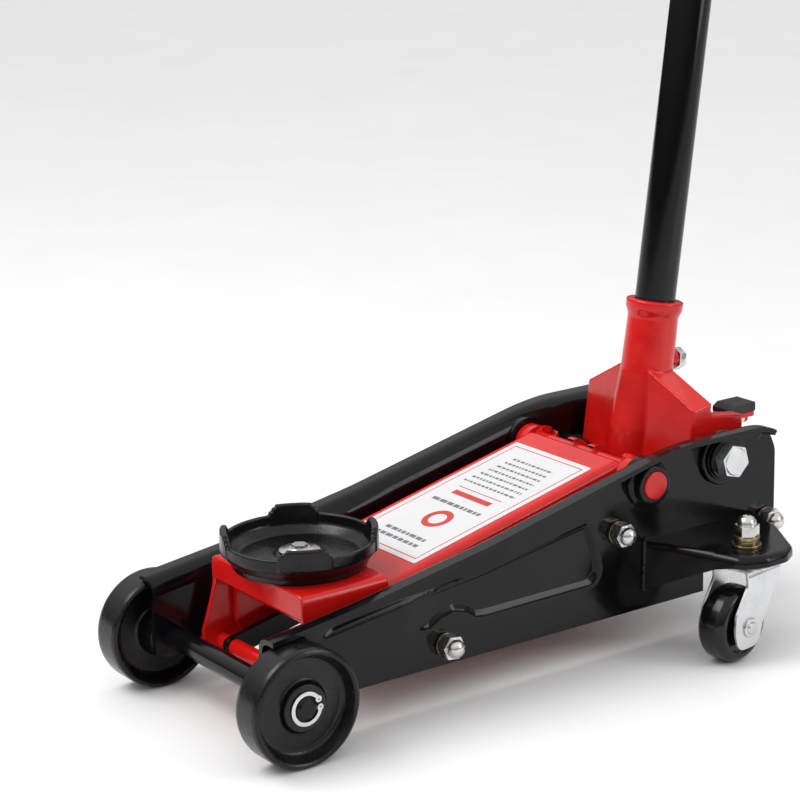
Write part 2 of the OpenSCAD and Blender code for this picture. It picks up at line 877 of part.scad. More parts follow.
place() side_plate_right();
place() side_plate_left();
place() arm_pivot_bushes();
place() front_axle();
place() axle_rings();
place() tie_rod_front();
place() tie_rod_rear();
place() link_bolts();
place() acorn_nuts();
place() nut_washers();
place() caster_bracket_right();
place() caster_bracket_left();
place() caster_studs();
place() stud_nuts();
place() stud_washers();
place() handle_pivot_bolts();
place() pivot_washers();
place() pump_block();
place() ram_cylinder();
place() gland_nut();
place() filler_plug();
place() release_valve();
place() pump_plunger();
place() pump_spring();
place() quick_plunger();
place() front_wheel_right();
place() front_wheel_left();
place() fork_right();
place() fork_left();
place() swivel_ring_right();
place() swivel_ring_left();
place() caster_axle_right();
place() caster_axle_left();
place() caster_wheel_right();
place() caster_wheel_left();
place() lift_arm();
place() arm_label();
place() arm_pivot_shaft();
place() ram_lever();
place() head_pivot_pin();
place() saddle_head();
place() link_pin();
place() saddle();
place() saddle_washer();
place() saddle_screw();
place() radius_rod_right();
place() radius_rod_left();
place() ram_rod();
place() crosshead_pin();
place() handle_socket();
place() roller_pin();
place() pump_roller();
place() clamp_bolt();
place() handle_lower_tube();
place() handle_upper_tube();
place() handle_grip();
place() pedal_lever();
place() pedal_pad();
place() pedal_rivet();
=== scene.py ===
# A floor jack's looks, built around its CAD frame.
# Every shape is drawn in millimetres with Y measured back from the front axle, then set in the frame.
import math
import random

import bmesh
import bpy
from mathutils import Matrix, Vector


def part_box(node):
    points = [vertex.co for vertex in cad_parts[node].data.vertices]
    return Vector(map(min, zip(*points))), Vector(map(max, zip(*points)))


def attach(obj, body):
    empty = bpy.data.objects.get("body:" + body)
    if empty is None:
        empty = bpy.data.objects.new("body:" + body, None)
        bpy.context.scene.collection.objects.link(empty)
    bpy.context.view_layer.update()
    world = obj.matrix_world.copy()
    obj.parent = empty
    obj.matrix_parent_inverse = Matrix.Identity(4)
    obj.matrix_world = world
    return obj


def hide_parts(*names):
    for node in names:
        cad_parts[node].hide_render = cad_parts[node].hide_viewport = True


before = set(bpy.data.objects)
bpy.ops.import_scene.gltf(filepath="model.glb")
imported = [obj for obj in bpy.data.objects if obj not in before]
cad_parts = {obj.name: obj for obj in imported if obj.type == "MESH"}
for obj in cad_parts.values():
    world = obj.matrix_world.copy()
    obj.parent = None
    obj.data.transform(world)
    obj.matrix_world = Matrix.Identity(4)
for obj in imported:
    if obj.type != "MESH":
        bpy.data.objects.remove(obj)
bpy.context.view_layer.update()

MM = 0.001
axle_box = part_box("front_axle")
AXLE_Y = (axle_box[0].y + axle_box[1].y) / 2
SHARP = math.radians(32)
REMESHED_SHARP = math.radians(60)


# ---------- finishes ----------

def surface(name, colour, rough, metallic=0.0, tone=0.12, tone_size=60.0,
            rough_vary=0.08, grain=0.0, grain_size=1.2, wave=0.0, wave_size=14.0,
            specks=0.0, speck_colour=(0.3, 0.3, 0.3), brushed=None, shine=0.5):
    """A procedural finish. Sizes are in millimetres; grain and wave are bump heights."""
    material = bpy.data.materials.new(name)
    material.use_nodes = True
    nodes = material.node_tree.nodes
    links = material.node_tree.links
    shader = nodes["Principled BSDF"]
    shader.inputs["Metallic"].default_value = metallic
    shader.inputs["Specular IOR Level"].default_value = shine
    place = nodes.new("ShaderNodeTexCoord").outputs["Object"]
    if brushed:
        mapping = nodes.new("ShaderNodeMapping")
        mapping.inputs["Scale"].default_value = brushed
        links.new(place, mapping.inputs["Vector"])
        place = mapping.outputs["Vector"]

    def noise(size, detail=3.0, roughness=0.55):
        node = nodes.new("ShaderNodeTexNoise")
        node.inputs["Scale"].default_value = 1.0 / (size * MM)
        node.inputs["Detail"].default_value = detail
        node.inputs["Roughness"].default_value = roughness
        links.new(place, node.inputs["Vector"])
        return node.outputs["Fac"]

    def spread(value, low, high, from_low=0.3, from_high=0.7):
        node = nodes.new("ShaderNodeMapRange")
        node.inputs["From Min"].default_value = from_low
        node.inputs["From Max"].default_value = from_high
        node.inputs["To Min"].default_value = low
        node.inputs["To Max"].default_value = high
        links.new(value, node.inputs["Value"])
        return node.outputs["Result"]

    def mix(factor, a, b):
        node = nodes.new("ShaderNodeMix")
        node.data_type = "RGBA"
        links.new(factor, node.inputs["Factor"])
        for socket, value in ((node.inputs["A"], a), (node.inputs["B"], b)):
            if isinstance(value, tuple):
                socket.default_value = (*value, 1.0)
            else:
                links.new(value, socket)
        return node.outputs["Result"]

    dark = tuple(c * (1 - tone) for c in colour)
    light = tuple(min(1.0, c * (1 + tone)) for c in colour)
    base = mix(spread(noise(tone_size), 0.0, 1.0), dark, light)
    if specks:
        fleck = spread(noise(2.2, 6.0, 0.7), 0.0, 1.0, 1.0 - specks - 0.06, 1.0 - specks + 0.06)
        base = mix(fleck, base, speck_colour)
    links.new(base, shader.inputs["Base Color"])
    smear = spread(noise(tone_size * 0.35, 5.0), max(0.02, rough - rough_vary), rough + rough_vary)
    links.new(smear, shader.inputs["Roughness"])
    normal = None
    for height, size in ((wave, wave_size), (grain, grain_size)):
        if height:
            bump = nodes.new("ShaderNodeBump")
            bump.inputs["Distance"].default_value = height * MM
            links.new(noise(size, 2.0), bump.inputs["Height"])
            if normal:
                links.new(normal, bump.inputs["Normal"])
            normal = bump.outputs["Normal"]
    if normal:
        links.new(normal, shader.inputs["Normal"])
    return material


RED = surface("red_enamel", (0.62, 0.009, 0.007), 0.18, shine=0.4, tone=0.14, tone_size=70,
              wave=0.05, wave_size=9, specks=0.22, speck_colour=(0.46, 0.007, 0.006))
CAST_RED = surface("red_enamel_on_casting", (0.58, 0.009, 0.007), 0.18, shine=0.4, tone=0.16, tone_size=45,
                   wave=0.14, wave_size=13, grain=0.02, grain_size=2.4,
                   specks=0.2, speck_colour=(0.42, 0.007, 0.006))
BLACK = surface("black_enamel", (0.004, 0.004, 0.0048), 0.13, shine=0.24, tone=0.3, tone_size=80,
                rough_vary=0.05, wave=0.05, wave_size=12, specks=0.2, speck_colour=(0.01, 0.01, 0.011))
TUBE_BLACK = surface("black_tube_enamel", (0.003, 0.003, 0.0035), 0.13, shine=0.3, tone=0.3, tone_size=120,
                     rough_vary=0.04, wave=0.03, wave_size=8)
CAST_BLACK = surface("black_cast_iron", (0.004, 0.004, 0.0045), 0.24, shine=0.32, tone=0.35, tone_size=25,
                     rough_vary=0.08, wave=0.16, wave_size=6, grain=0.14, grain_size=1.4,
                     specks=0.24, speck_colour=(0.012, 0.012, 0.013))
ZINC = surface("bright_zinc", (0.62, 0.61, 0.59), 0.24, metallic=1.0, tone=0.08, tone_size=12,
               rough_vary=0.12, grain=0.012, grain_size=0.7, specks=0.2, speck_colour=(0.5, 0.49, 0.46))
PALE_ZINC = surface("pale_zinc_sheet", (0.66, 0.67, 0.68), 0.34, metallic=0.85, tone=0.06, tone_size=18,
                    rough_vary=0.12, grain=0.02, grain_size=0.9, specks=0.2, speck_colour=(0.62, 0.62, 0.62))
# Yellow zinc for the washers. Its colour is also darkened as painted shade for where they sit under the nuts.
YELLOW_ZINC_AND_PAINTED_SHADE = surface("passivated_zinc_and_painted_shade", (0.30, 0.24, 0.13), 0.3, metallic=1.0, tone=0.3, tone_size=6,
                      rough_vary=0.12, grain=0.012, grain_size=0.7)
DARK_STEEL = surface("oiled_steel", (0.16, 0.155, 0.15), 0.38, metallic=1.0, tone=0.25, tone_size=20,
                     rough_vary=0.15, grain=0.02, grain_size=0.8)
GROUND_STEEL = surface("ground_steel", (0.62, 0.62, 0.63), 0.16, metallic=1.0, tone=0.06, tone_size=15,
                       rough_vary=0.08, brushed=(1.0, 14.0, 14.0))
LABEL = surface("label_vinyl", (0.70, 0.70, 0.71), 0.4, tone=0.03, tone_size=50, wave=0.02, wave_size=10)
RED_INK = surface("red_ink", (0.55, 0.03, 0.02), 0.42, tone=0.12, tone_size=8)
GREY_INK = surface("grey_ink", (0.16, 0.16, 0.17), 0.45, tone=0.2, tone_size=8)
WHEEL_PLASTIC = surface("caster_nylon", (0.004, 0.004, 0.0045), 0.16, shine=0.35, tone=0.3, tone_size=18,
                        rough_vary=0.1, grain=0.02, grain_size=0.8)
RUBBER = surface("ribbed_rubber", (0.016, 0.016, 0.017), 0.62, tone=0.3, tone_size=15,
                 rough_vary=0.1, grain=0.05, grain_size=0.9)
FLOOR = surface("studio_floor", (0.9, 0.9, 0.9), 0.6, tone=0.01, tone_size=300)


# ---------- mesh helpers ----------

def rounded(points, steps=5, closed=True):
    """An outline whose corners (a, b, radius) are rounded; a corner (a, b) stays sharp."""
    result = []
    count = len(points)
    for i, point in enumerate(points):
        here = Vector(point[:2])
        radius = point[2] if len(point) > 2 else 0.0
        if not radius or (not closed and i in (0, count - 1)):
            result.append(here)
            continue
        before = Vector(points[i - 1][:2]) - here
        after = Vector(points[(i + 1) % count][:2]) - here
        half = before.angle(after) / 2
        reach = min(radius / math.tan(half), before.length * 0.49, after.length * 0.49)
        start = here + before.normalized() * reach
        end = here + after.normalized() * reach
        for k in range(steps + 1):
            t = k / steps
            result.append(start * (1 - t) ** 2 + here * 2 * t * (1 - t) + end * t ** 2)
    return result


def extrude_face(bm, corners, along):
    """A closed solid: one face through the corners, extruded by a vector."""
    face = bm.faces.new([bm.verts.new(c) for c in corners])
    made = bmesh.ops.extrude_face_region(bm, geom=[face])["geom"]
    bmesh.ops.translate(bm, vec=along, verts=[g for g in made if isinstance(g, bmesh.types.BMVert)])


def slab_x(bm, outline, x0, x1, steps=5):
    """A [y, z] outline extruded along X."""
    extrude_face(bm, [(x0, p[0], p[1]) for p in rounded(outline, steps)], (x1 - x0, 0, 0))


def slab_z(bm, outline, z0, z1, steps=5):
    """An [x, y] outline extruded along Z."""
    extrude_face(bm, [(p[0], p[1], z0) for p in rounded(outline, steps)], (0, 0, z1 - z0))


def slab_y(bm, outline, y0, y1, steps=5):
    """An [x, z] outline extruded along Y."""
    extrude_face(bm, [(p[0], y0, p[1]) for p in rounded(outline, steps)], (0, y1 - y0, 0))


def block(bm, low, high):
    """A box between two opposite corners."""
    slab_z(bm, [(low[0], low[1]), (high[0], low[1]), (high[0], high[1]), (low[0], high[1])], low[2], high[2])


def lathe(bm, profile, centre, axis, steps=72, closed=False, angle=360.0, start=None, round_steps=4):
    """Spins a profile of (radius, height, rounding) about an axis through centre."""
    axis = Vector(axis).normalized()
    side = Vector(start).normalized() if start else axis.orthogonal().normalized()
    centre = Vector(centre)
    verts = [bm.verts.new(centre + side * p[0] + axis * p[1]) for p in rounded(profile, round_steps, closed)]
    pairs = list(zip(verts, verts[1:]))
    if closed:
        pairs.append((verts[-1], verts[0]))
    edges = [bm.edges.new(pair) for pair in pairs]
    full = abs(angle) >= 360
    if not full and closed:
        face = bm.faces.new(verts)
        bmesh.ops.spin(bm, geom=[face], cent=centre, axis=axis, angle=math.radians(angle),
                       steps=steps, use_merge=False)
        return
    bmesh.ops.spin(bm, geom=verts + edges, cent=centre, axis=axis, angle=math.radians(angle),
                   steps=steps, use_merge=full)


def hexagon(bm, centre, axis, across_flats, height, turn=0.0, chamfer=1.0):
    """A hexagonal head or nut with a turned chamfer on its far end."""
    axis = Vector(axis).normalized()
    side = axis.orthogonal().normalized()
    radius = across_flats / 2 / math.cos(math.pi / 6)
    centre = Vector(centre)
    corners = []
    for k in range(6):
        corners.append(centre + Matrix.Rotation(math.radians(turn + 60 * k), 3, axis) @ (side * radius))
    face = bm.faces.new([bm.verts.new(c) for c in corners])
    made = bmesh.ops.extrude_face_region(bm, geom=[face])["geom"]
    top = [g for g in made if isinstance(g, bmesh.types.BMVert)]
    bmesh.ops.translate(bm, vec=axis * height, verts=top)
    bmesh.ops.bevel(bm, geom=top, offset=chamfer, affect="VERTICES", segments=4, profile=0.5,
                    material=-1)


def mirrored(bm):
    """Adds the mirror image of everything on the other side of the jack."""
    geom = list(bm.verts) + list(bm.edges) + list(bm.faces)
    copy = bmesh.ops.duplicate(bm, geom=geom)["geom"]
    verts = [g for g in copy if isinstance(g, bmesh.types.BMVert)]
    bmesh.ops.scale(bm, vec=(-1, 1, 1), verts=verts)


def flip_side(bm):
    """Mirrors a whole shape to the other side of the jack."""
    bmesh.ops.scale(bm, vec=(-1, 1, 1), verts=bm.verts)


def piece(bm, name, body, finish, nodes=(), bevel=0.0, bevel_steps=2, wall=0.0,
          remesh=0.0, smooth=0, orient=True, even=True):
    """Turns a bmesh in millimetres into a finished piece that rides on a body.

    A wall thickens an open sheet inwards; remesh melts overlapping solids together.
    """
    bmesh.ops.remove_doubles(bm, verts=bm.verts, dist=0.01)
    if orient:
        bmesh.ops.recalc_face_normals(bm, faces=bm.faces)
    bmesh.ops.scale(bm, vec=(MM, MM, MM), verts=bm.verts)
    bmesh.ops.translate(bm, vec=(0, AXLE_Y, 0), verts=bm.verts)
    mesh = bpy.data.meshes.new(name)
    bm.to_mesh(mesh)
    bm.free()
    obj = bpy.data.objects.new(name, mesh)
    bpy.context.scene.collection.objects.link(obj)
    if remesh:
        fuse(obj, remesh, smooth)
        mesh = obj.data
    mesh.polygons.foreach_set("use_smooth", [True] * len(mesh.polygons))
    mesh.set_sharp_from_angle(angle=REMESHED_SHARP if remesh else SHARP)
    mesh.materials.append(finish)
    if wall:
        solid = obj.modifiers.new("wall", "SOLIDIFY")
        solid.thickness = wall * MM
        solid.offset = -1.0
        solid.use_even_offset = even
    if bevel:
        edge = obj.modifiers.new("edges", "BEVEL")
        edge.width = bevel * MM
        edge.segments = bevel_steps
        edge.limit_method = "ANGLE"
        edge.angle_limit = math.radians(35)
        edge.harden_normals = True
    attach(obj, body)
    if nodes:
        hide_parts(*nodes)
    return obj


def fuse(obj, voxel, smooth):
    """Melts a piece's overlapping solids into one cast shape with soft inner corners."""
    remesh = obj.modifiers.new("fuse", "REMESH")
    remesh.mode = "VOXEL"
    remesh.voxel_size = voxel * MM
    relax = obj.modifiers.new("relax", "SMOOTH")
    relax.factor = 0.5
    relax.iterations = smooth
    bpy.context.view_layer.update()
    graph = bpy.context.evaluated_depsgraph_get()
    melted = bpy.data.meshes.new_from_object(obj.evaluated_get(graph))
    obj.modifiers.clear()
    obj.data = melted


def refinish(material, *names):
    """Gives CAD nodes that keep their own shape a real finish."""
    for name in names:
        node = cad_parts[name]
        node.data.materials.clear()
        node.data.materials.append(material)


def blend_step(value, low, high):
    """Rises smoothly from 0 to 1 as a value passes from low to high."""
    t = min(1.0, max(0.0, (value - low) / (high - low)))
    return t * t * (3 - 2 * t)


def along(points, value):
    """Height of a polyline of (position, height) at a position."""
    for (a, za), (b, zb) in zip(points, points[1:]):
        if value <= b:
            return za + (zb - za) * max(0.0, (value - a)) / (b - a)
    return points[-1][1]


# ---------- layout, as in the CAD ----------

PLATE_IN = 81.0
PLATE_T = 4.5
PLATE_OUT = PLATE_IN + PLATE_T
FLANGE_OUT = 104.5
BEND_R = 15.0
BOSS_T = 4.0
FLANGE_LINE = [(-18, 103.5), (70, 115), (200, 138), (385, 180), (415, 184), (500, 184)]
CORNER = (500.0, 149.0, 35.0)
AXLE_Z = 50.0
WHEEL_IN = 95.0
WHEEL_OUT = 126.0
ARM_PIVOT = (381.0, 152.0)
LINK_PIVOT = (349.0, 112.5)
HEAD_PIN = (70.0, 82.0)
HEAD_LOW_PIN = (38.0, 42.5)
HANDLE_PIVOT = (469.0, 158.0)
EAR_IN = 57.0
EAR_OUT = 72.6
TIE_FRONT = (163.0, 54.0)
TIE_REAR = (524.0, 90.0)
LEAN = math.radians(8.4)
TUBE_SHIFT = -22.3
CLAMP_Z = 72.0
HANDLE_D = 36.5
HANDLE_REACH = 1120.0
SADDLE = (0.0, 77.0)
STUD = (152.0, 439.0)
SHELF_Z = 99.0
SHELF_T = 4.0
FORK_TOP = 86.0
RAM_Z = 102.0
NUT_FLATS = 19.0
WASHER_T = 1.6
PIVOT_WASHER_T = 2.5
SIDES = (("right", 1), ("left", -1))


# ---------- side plates ----------

def smooth_path(points, half, step):
    """Evenly spaced points on a polyline whose corners are eased over a length."""
    lengths = [0.0]
    for a, b in zip(points, points[1:]):
        lengths.append(lengths[-1] + math.dist(a, b))

    def at(s):
        s = min(max(s, 0.0), lengths[-1])
        for i in range(len(points) - 1):
            if s <= lengths[i + 1]:
                t = (s - lengths[i]) / (lengths[i + 1] - lengths[i])
                return Vector(points[i]).lerp(Vector(points[i + 1]), t)
        return Vector(points[-1])

    count = int(lengths[-1] / step)
    result = []
    for k in range(count + 1):
        s = lengths[-1] * k / count
        reach = min(half, s, lengths[-1] - s)
        result.append(sum((at(s + reach * j / 3) for j in range(-3, 4)), Vector((0, 0))) / 7)
    return result


# Lines of (distance behind the axle, height) that bound the pressed areas
LEDGE_LOW = [(112, 71.5), (138, 71.5), (148, 73), (160, 80), (172, 82.5), (184, 79), (194, 72.5), (204, 71),
             (322, 72.2)]
LEDGE_HIGH = [(-20, 78), (56, 90), (120, 98.5), (204, 107.4), (314, 125.6), (600, 170)]
PANEL_REAR = 329.0
PANEL_CORNER = 18.0
PANEL_DEPTH = 3.0
# How deep the strip is, as (distance behind the axle, depth)
STRIP_DEPTH = [(40, 3.4), (120, 3.2), (230, 0.0), (600, 0.0)]
LEDGE_EASE = 3.5


def pressing(y, z):
    """How far the web is pressed in at a point: a long panel, and a strip under the flange."""
    def over(distance):
        return blend_step(distance, -LEDGE_EASE, LEDGE_EASE)

    high = along(LEDGE_HIGH, y)
    low = along(LEDGE_LOW, y)
    rear = PANEL_REAR - (z - 85) * 0.32
    reach_y = y - (rear - PANEL_CORNER)
    reach_z = (low + PANEL_CORNER) - z
    if reach_y > 0 and reach_z > 0:
        edge = PANEL_CORNER - math.hypot(reach_y, reach_z)
    else:
        edge = min(rear - y, z - low)
    panel = PANEL_DEPTH * over(edge) * over(high - z) * blend_step(y, 120, 160)
    strip = along(STRIP_DEPTH, y) * over(z - high) * blend_step(y, 34, 56)
    return max(panel, strip)


def side_plate(side, name):
    """A pressed plate: a grid that runs from the flange's lip over the fold and down the web."""
    centre_y, centre_z, radius = CORNER
    arc = [(centre_y + radius * math.cos(math.radians(a)), centre_z + radius * math.sin(math.radians(a)))
           for a in range(80, -1, -5)]
    path = smooth_path(FLANGE_LINE + arc, 12.0, 1.5)
    flat_rows, bend_rows, web_rows, skirt_rows = 3, 9, 84, 24
    rows = flat_rows + bend_rows + web_rows + skirt_rows
    low_end, rear_bottom, bottom = 450.0, 80.0, 36.0
    bm = bmesh.new()
    bmesh.ops.create_grid(bm, x_segments=len(path) - 1, y_segments=rows, size=1.0)
    for vert in bm.verts:
        column = round((vert.co.x + 1) / 2 * (len(path) - 1))
        row = round((vert.co.y + 1) / 2 * rows)
        point = path[column]
        ahead = path[min(column + 1, len(path) - 1)] - path[max(column - 1, 0)]
        inward = Vector((ahead.y, -ahead.x)).normalized()
        turn = 90.0
        if point.x > centre_y:
            turn = math.degrees(math.atan2(point.y - centre_z, point.x - centre_y))
        full = blend_step(turn, 38, 56)
        foot_y = low_end if abs(point.x - low_end) < 1.2 else point.x
        if row <= flat_rows:
            x = FLANGE_OUT - (FLANGE_OUT - PLATE_IN - BEND_R) * row / flat_rows
            deep = 0.0
        else:
            bend = min(1.0, (row - flat_rows) / bend_rows) * math.pi / 2
            x = PLATE_IN + BEND_R * (1 - math.sin(bend))
            deep = BEND_R * (1 - math.cos(bend))
        x = PLATE_IN + (x - PLATE_IN) * full
        spot = point + inward * deep * full
        if row > flat_rows + bend_rows:
            t = min(1.0, (row - flat_rows - bend_rows) / web_rows)
            spot = spot.lerp(Vector((foot_y, rear_bottom)), t)
            below = max(0, row - flat_rows - bend_rows - web_rows) / skirt_rows
            spot.y -= (rear_bottom - bottom) * below
        if row >= flat_rows + bend_rows - 2:
            x -= pressing(spot.x, spot.y)
        vert.co = (x, spot.x, spot.y)
    gone = [f for f in bm.faces
            if f.calc_center_median().y > low_end and f.calc_center_median().z < rear_bottom]
    bmesh.ops.delete(bm, geom=gone, context="FACES")
    bmesh.ops.remove_doubles(bm, verts=bm.verts, dist=0.02)
    bmesh.ops.recalc_face_normals(bm, faces=bm.faces)
    probe = max(bm.faces, key=lambda f: f.calc_area() if abs(f.normal.x) > 0.9 else 0.0)
    if probe.normal.x > 0:
        bmesh.ops.reverse_faces(bm, faces=bm.faces)
    if side < 0:
        flip_side(bm)
        bmesh.ops.reverse_faces(bm, faces=bm.faces)
    piece(bm, name, "frame", BLACK, [name], wall=PLATE_T, bevel=0.8, orient=False, even=False)


for side_name, sign in SIDES:
    side_plate(sign, f"side_plate_{side_name}")


def bosses():
    """Raised rings round the handle pivots, and the weld beads that hold the brackets."""
    bm = bmesh.new()
    sunk = 0.2
    height = BOSS_T + sunk
    ring = [(0, 0), (25, 0), (25, height, 1.6), (0, height)]
    lathe(bm, ring, (PLATE_OUT - sunk, *HANDLE_PIVOT), (1, 0, 0))
    mirrored(bm)
    piece(bm, "pivot_boss_rings", "frame", BLACK)
    bm = bmesh.new()
    chance = random.Random(4)
    for k in range(24):
        z = 54 + k * 2.0
        y = 379 + k * 0.05 + chance.uniform(-0.4, 0.4)
        ball = bmesh.ops.create_icosphere(bm, subdivisions=2, radius=3.0 + chance.uniform(-0.3, 0.3))["verts"]
        bmesh.ops.scale(bm, vec=(0.9, 1.0, 0.7), verts=ball)
        bmesh.ops.translate(bm, vec=(PLATE_OUT + 0.8, y, z), verts=ball)
    mirrored(bm)
    piece(bm, "bracket_welds", "frame", BLACK, remesh=0.8, smooth=2)


bosses()


# ---------- axle, front wheels and their rings ----------

def front_axle():
    """A straight bar with chamfered ends."""
    end = WHEEL_OUT - 1
    bm = bmesh.new()
    lathe(bm, [(0, -end), (7, -end), (10, -end + 2.2, 0.6), (10, end - 2.2, 0.6), (7, end), (0, end)],
          (0, 0, AXLE_Z), (1, 0, 0))
    piece(bm, "front_axle_bar", "frame", BLACK, ["front_axle"])


def front_wheel(side, name):
    """A cast wheel with a dished web between rim and hub."""
    centre_x = (WHEEL_IN + WHEEL_OUT) / 2
    half = (WHEEL_OUT - WHEEL_IN) / 2
    hub_out = WHEEL_OUT - 4.5 - centre_x
    hub_in = PLATE_OUT + 0.3 - centre_x
    profile = [
        (10.1, hub_in), (10.1, hub_out), (19.5, hub_out, 1.5), (21.5, 5.0, 4.0), (40, 3.2, 5.0),
        (44.6, half - 1.2, 1.2), (46.6, half, 1.0), (49.2, half - 1.4, 1.2), (49.97, half - 5, 2.0),
        (49.97, -half + 5, 2.0), (49.2, -half + 1.4, 1.2), (46.6, -half, 1.0), (44.6, -half + 1.2, 1.2),
        (40, -3.2, 5.0), (21.5, -5.0, 4.0), (19.5, hub_in, 1.0)]
    bm = bmesh.new()
    lathe(bm, profile, (0, 0, 0), (1, 0, 0), steps=128, closed=True)
    bmesh.ops.translate(bm, vec=(centre_x, 0, AXLE_Z), verts=bm.verts)
    if side < 0:
        flip_side(bm)
    piece(bm, f"{name}_casting", name, CAST_BLACK, [name])


def axle_rings():
    """Snap rings: an open band with an eye at each end."""
    bm = bmesh.new()
    ring_x = WHEEL_OUT - 4.2
    gap = 34
    band = [(11.0, 0, 0.3), (14.4, 0, 0.4), (14.4, 1.6, 0.4), (11.0, 1.6, 0.3)]
    eye = [(1.0, 0), (2.9, 0, 0.3), (2.9, 1.7, 0.3), (1.0, 1.7)]
    lathe(bm, band, (ring_x, 0, AXLE_Z), (1, 0, 0), steps=60, closed=True, angle=360 - gap,
          start=(0, math.cos(0.5), math.sin(0.5)))
    for turn in (0.5, 0.5 - math.radians(gap)):
        spot = (ring_x, 12.6 * math.cos(turn), AXLE_Z + 12.6 * math.sin(turn))
        lathe(bm, eye, spot, (1, 0, 0), steps=20, closed=True)
    mirrored(bm)
    piece(bm, "snap_rings", "frame", ZINC, ["axle_rings"])


front_axle()
for side_name, sign in SIDES:
    front_wheel(sign, f"front_wheel_{side_name}")
axle_rings()


# ---------- nuts, washers and pivots ----------

def acorn(bm, base, axis, flats, turn=20.0):
    """A hexagonal nut with a domed cap."""
    axis = Vector(axis)
    hexagon(bm, base, axis, flats, flats * 0.5, turn, chamfer=0.9)
    r = flats * 0.44
    start = flats * 0.47
    dome = [(0, start), (r, start), (r, start + 1.2)]
    dome += [(r * out, start + r * up) for out, up in ((0.95, 0.45), (0.72, 0.82), (0.38, 1.0), (0, 1.06))]
    lathe(bm, dome, base, axis, steps=40)


def washer(bm, base, axis, outer, inner, height):
    """A flat ring with eased edges, standing on its base point."""
    lathe(bm, [(inner, 0), (outer, 0, 0.4), (outer, height, 0.5), (inner, height, 0.3)], base, axis,
          steps=56, closed=True)


def plate_nuts():
    """Domed nuts on both side plates, each on a stack of two washers."""
    bm = bmesh.new()
    for turn, spot in ((8, TIE_FRONT), (24, TIE_REAR), (15, LINK_PIVOT)):
        acorn(bm, (PLATE_OUT + 2 * WASHER_T, *spot), (1, 0, 0), NUT_FLATS, turn)
    mirrored(bm)
    piece(bm, "plate_acorn_nuts", "frame", ZINC, ["acorn_nuts"], bevel=0.4)
    bm = bmesh.new()
    for spot in (TIE_FRONT, TIE_REAR, LINK_PIVOT):
        washer(bm, (PLATE_OUT, *spot), (1, 0, 0), 10.2, 6, WASHER_T)
        washer(bm, (PLATE_OUT + WASHER_T, *spot), (1, 0, 0), 9, 6, WASHER_T)
    mirrored(bm)
    # These washers take the yellow zinc darkened as painted shade.
    piece(bm, "plate_nut_washers", "frame", YELLOW_ZINC_AND_PAINTED_SHADE, ["nut_washers"])


def arm_pivot_fittings():
    """The stepped bushes in the side plates, and the shaft that the arm turns on."""
    bm = bmesh.new()
    lathe(bm, [(12.7, -7.5), (22, -7.5), (22, 3.5, 2.5), (17.5, 4.5, 2.0), (17.5, 13, 1.5), (12.7, 13, 0.5)],
          (PLATE_OUT, *ARM_PIVOT), (1, 0, 0), closed=True)
    mirrored(bm)
    piece(bm, "pivot_bushes", "frame", BLACK, ["arm_pivot_bushes"])
    bm = bmesh.new()
    end = PLATE_OUT + 14.5
    lathe(bm, [(0, -end), (12.5, -end, 1.4), (12.5, end, 1.4), (0, end)], (0, *ARM_PIVOT), (1, 0, 0))
    piece(bm, "pivot_shaft", "arm", RED, ["arm_pivot_shaft"])


def handle_pivot_fittings():
    """The handle's bolts: a stack of two washers on each boss, with a hexagonal head on it."""
    first_washer = PLATE_OUT + BOSS_T
    second_washer = first_washer + PIVOT_WASHER_T
    head_x = second_washer + PIVOT_WASHER_T
    bm = bmesh.new()
    shank = EAR_IN - head_x
    lathe(bm, [(0, shank), (9, shank, 0.8), (9, 0), (0, 0)], (head_x, *HANDLE_PIVOT), (1, 0, 0))
    hexagon(bm, (head_x, *HANDLE_PIVOT), (1, 0, 0), 27, 11, 0, chamfer=1.4)
    lathe(bm, [(0, 10.9), (12.8, 10.9), (11.8, 12.0, 0.6), (0, 12.0)], (head_x, *HANDLE_PIVOT), (1, 0, 0))
    mirrored(bm)
    lathe(bm, [(0, 24), (6, 24, 0.8), (6, EAR_IN), (0, EAR_IN)], (0, *HANDLE_PIVOT), (1, 0, 0))
    piece(bm, "pivot_bolts", "frame", PALE_ZINC, ["handle_pivot_bolts"], bevel=0.7)
    bm = bmesh.new()
    washer(bm, (first_washer, *HANDLE_PIVOT), (1, 0, 0), 20.6, 9, PIVOT_WASHER_T)
    washer(bm, (second_washer, *HANDLE_PIVOT), (1, 0, 0), 19, 9, PIVOT_WASHER_T)
    mirrored(bm)
    piece(bm, "pivot_bolt_washers", "frame", BLACK, ["pivot_washers"])


plate_nuts()
arm_pivot_fittings()
handle_pivot_fittings()


# ---------- caster brackets and casters ----------

BRACKET = [(PLATE_OUT - 0.5, 378), (150, 403, 26), (177, 411, 16), (185.3, 434, 16), (184.8, 456, 18),
           (174, 474, 22), (125, 502, 26), (PLATE_OUT - 0.5, 508)]
BRACKET_MIDDLE = Vector((130.0, 445.0))


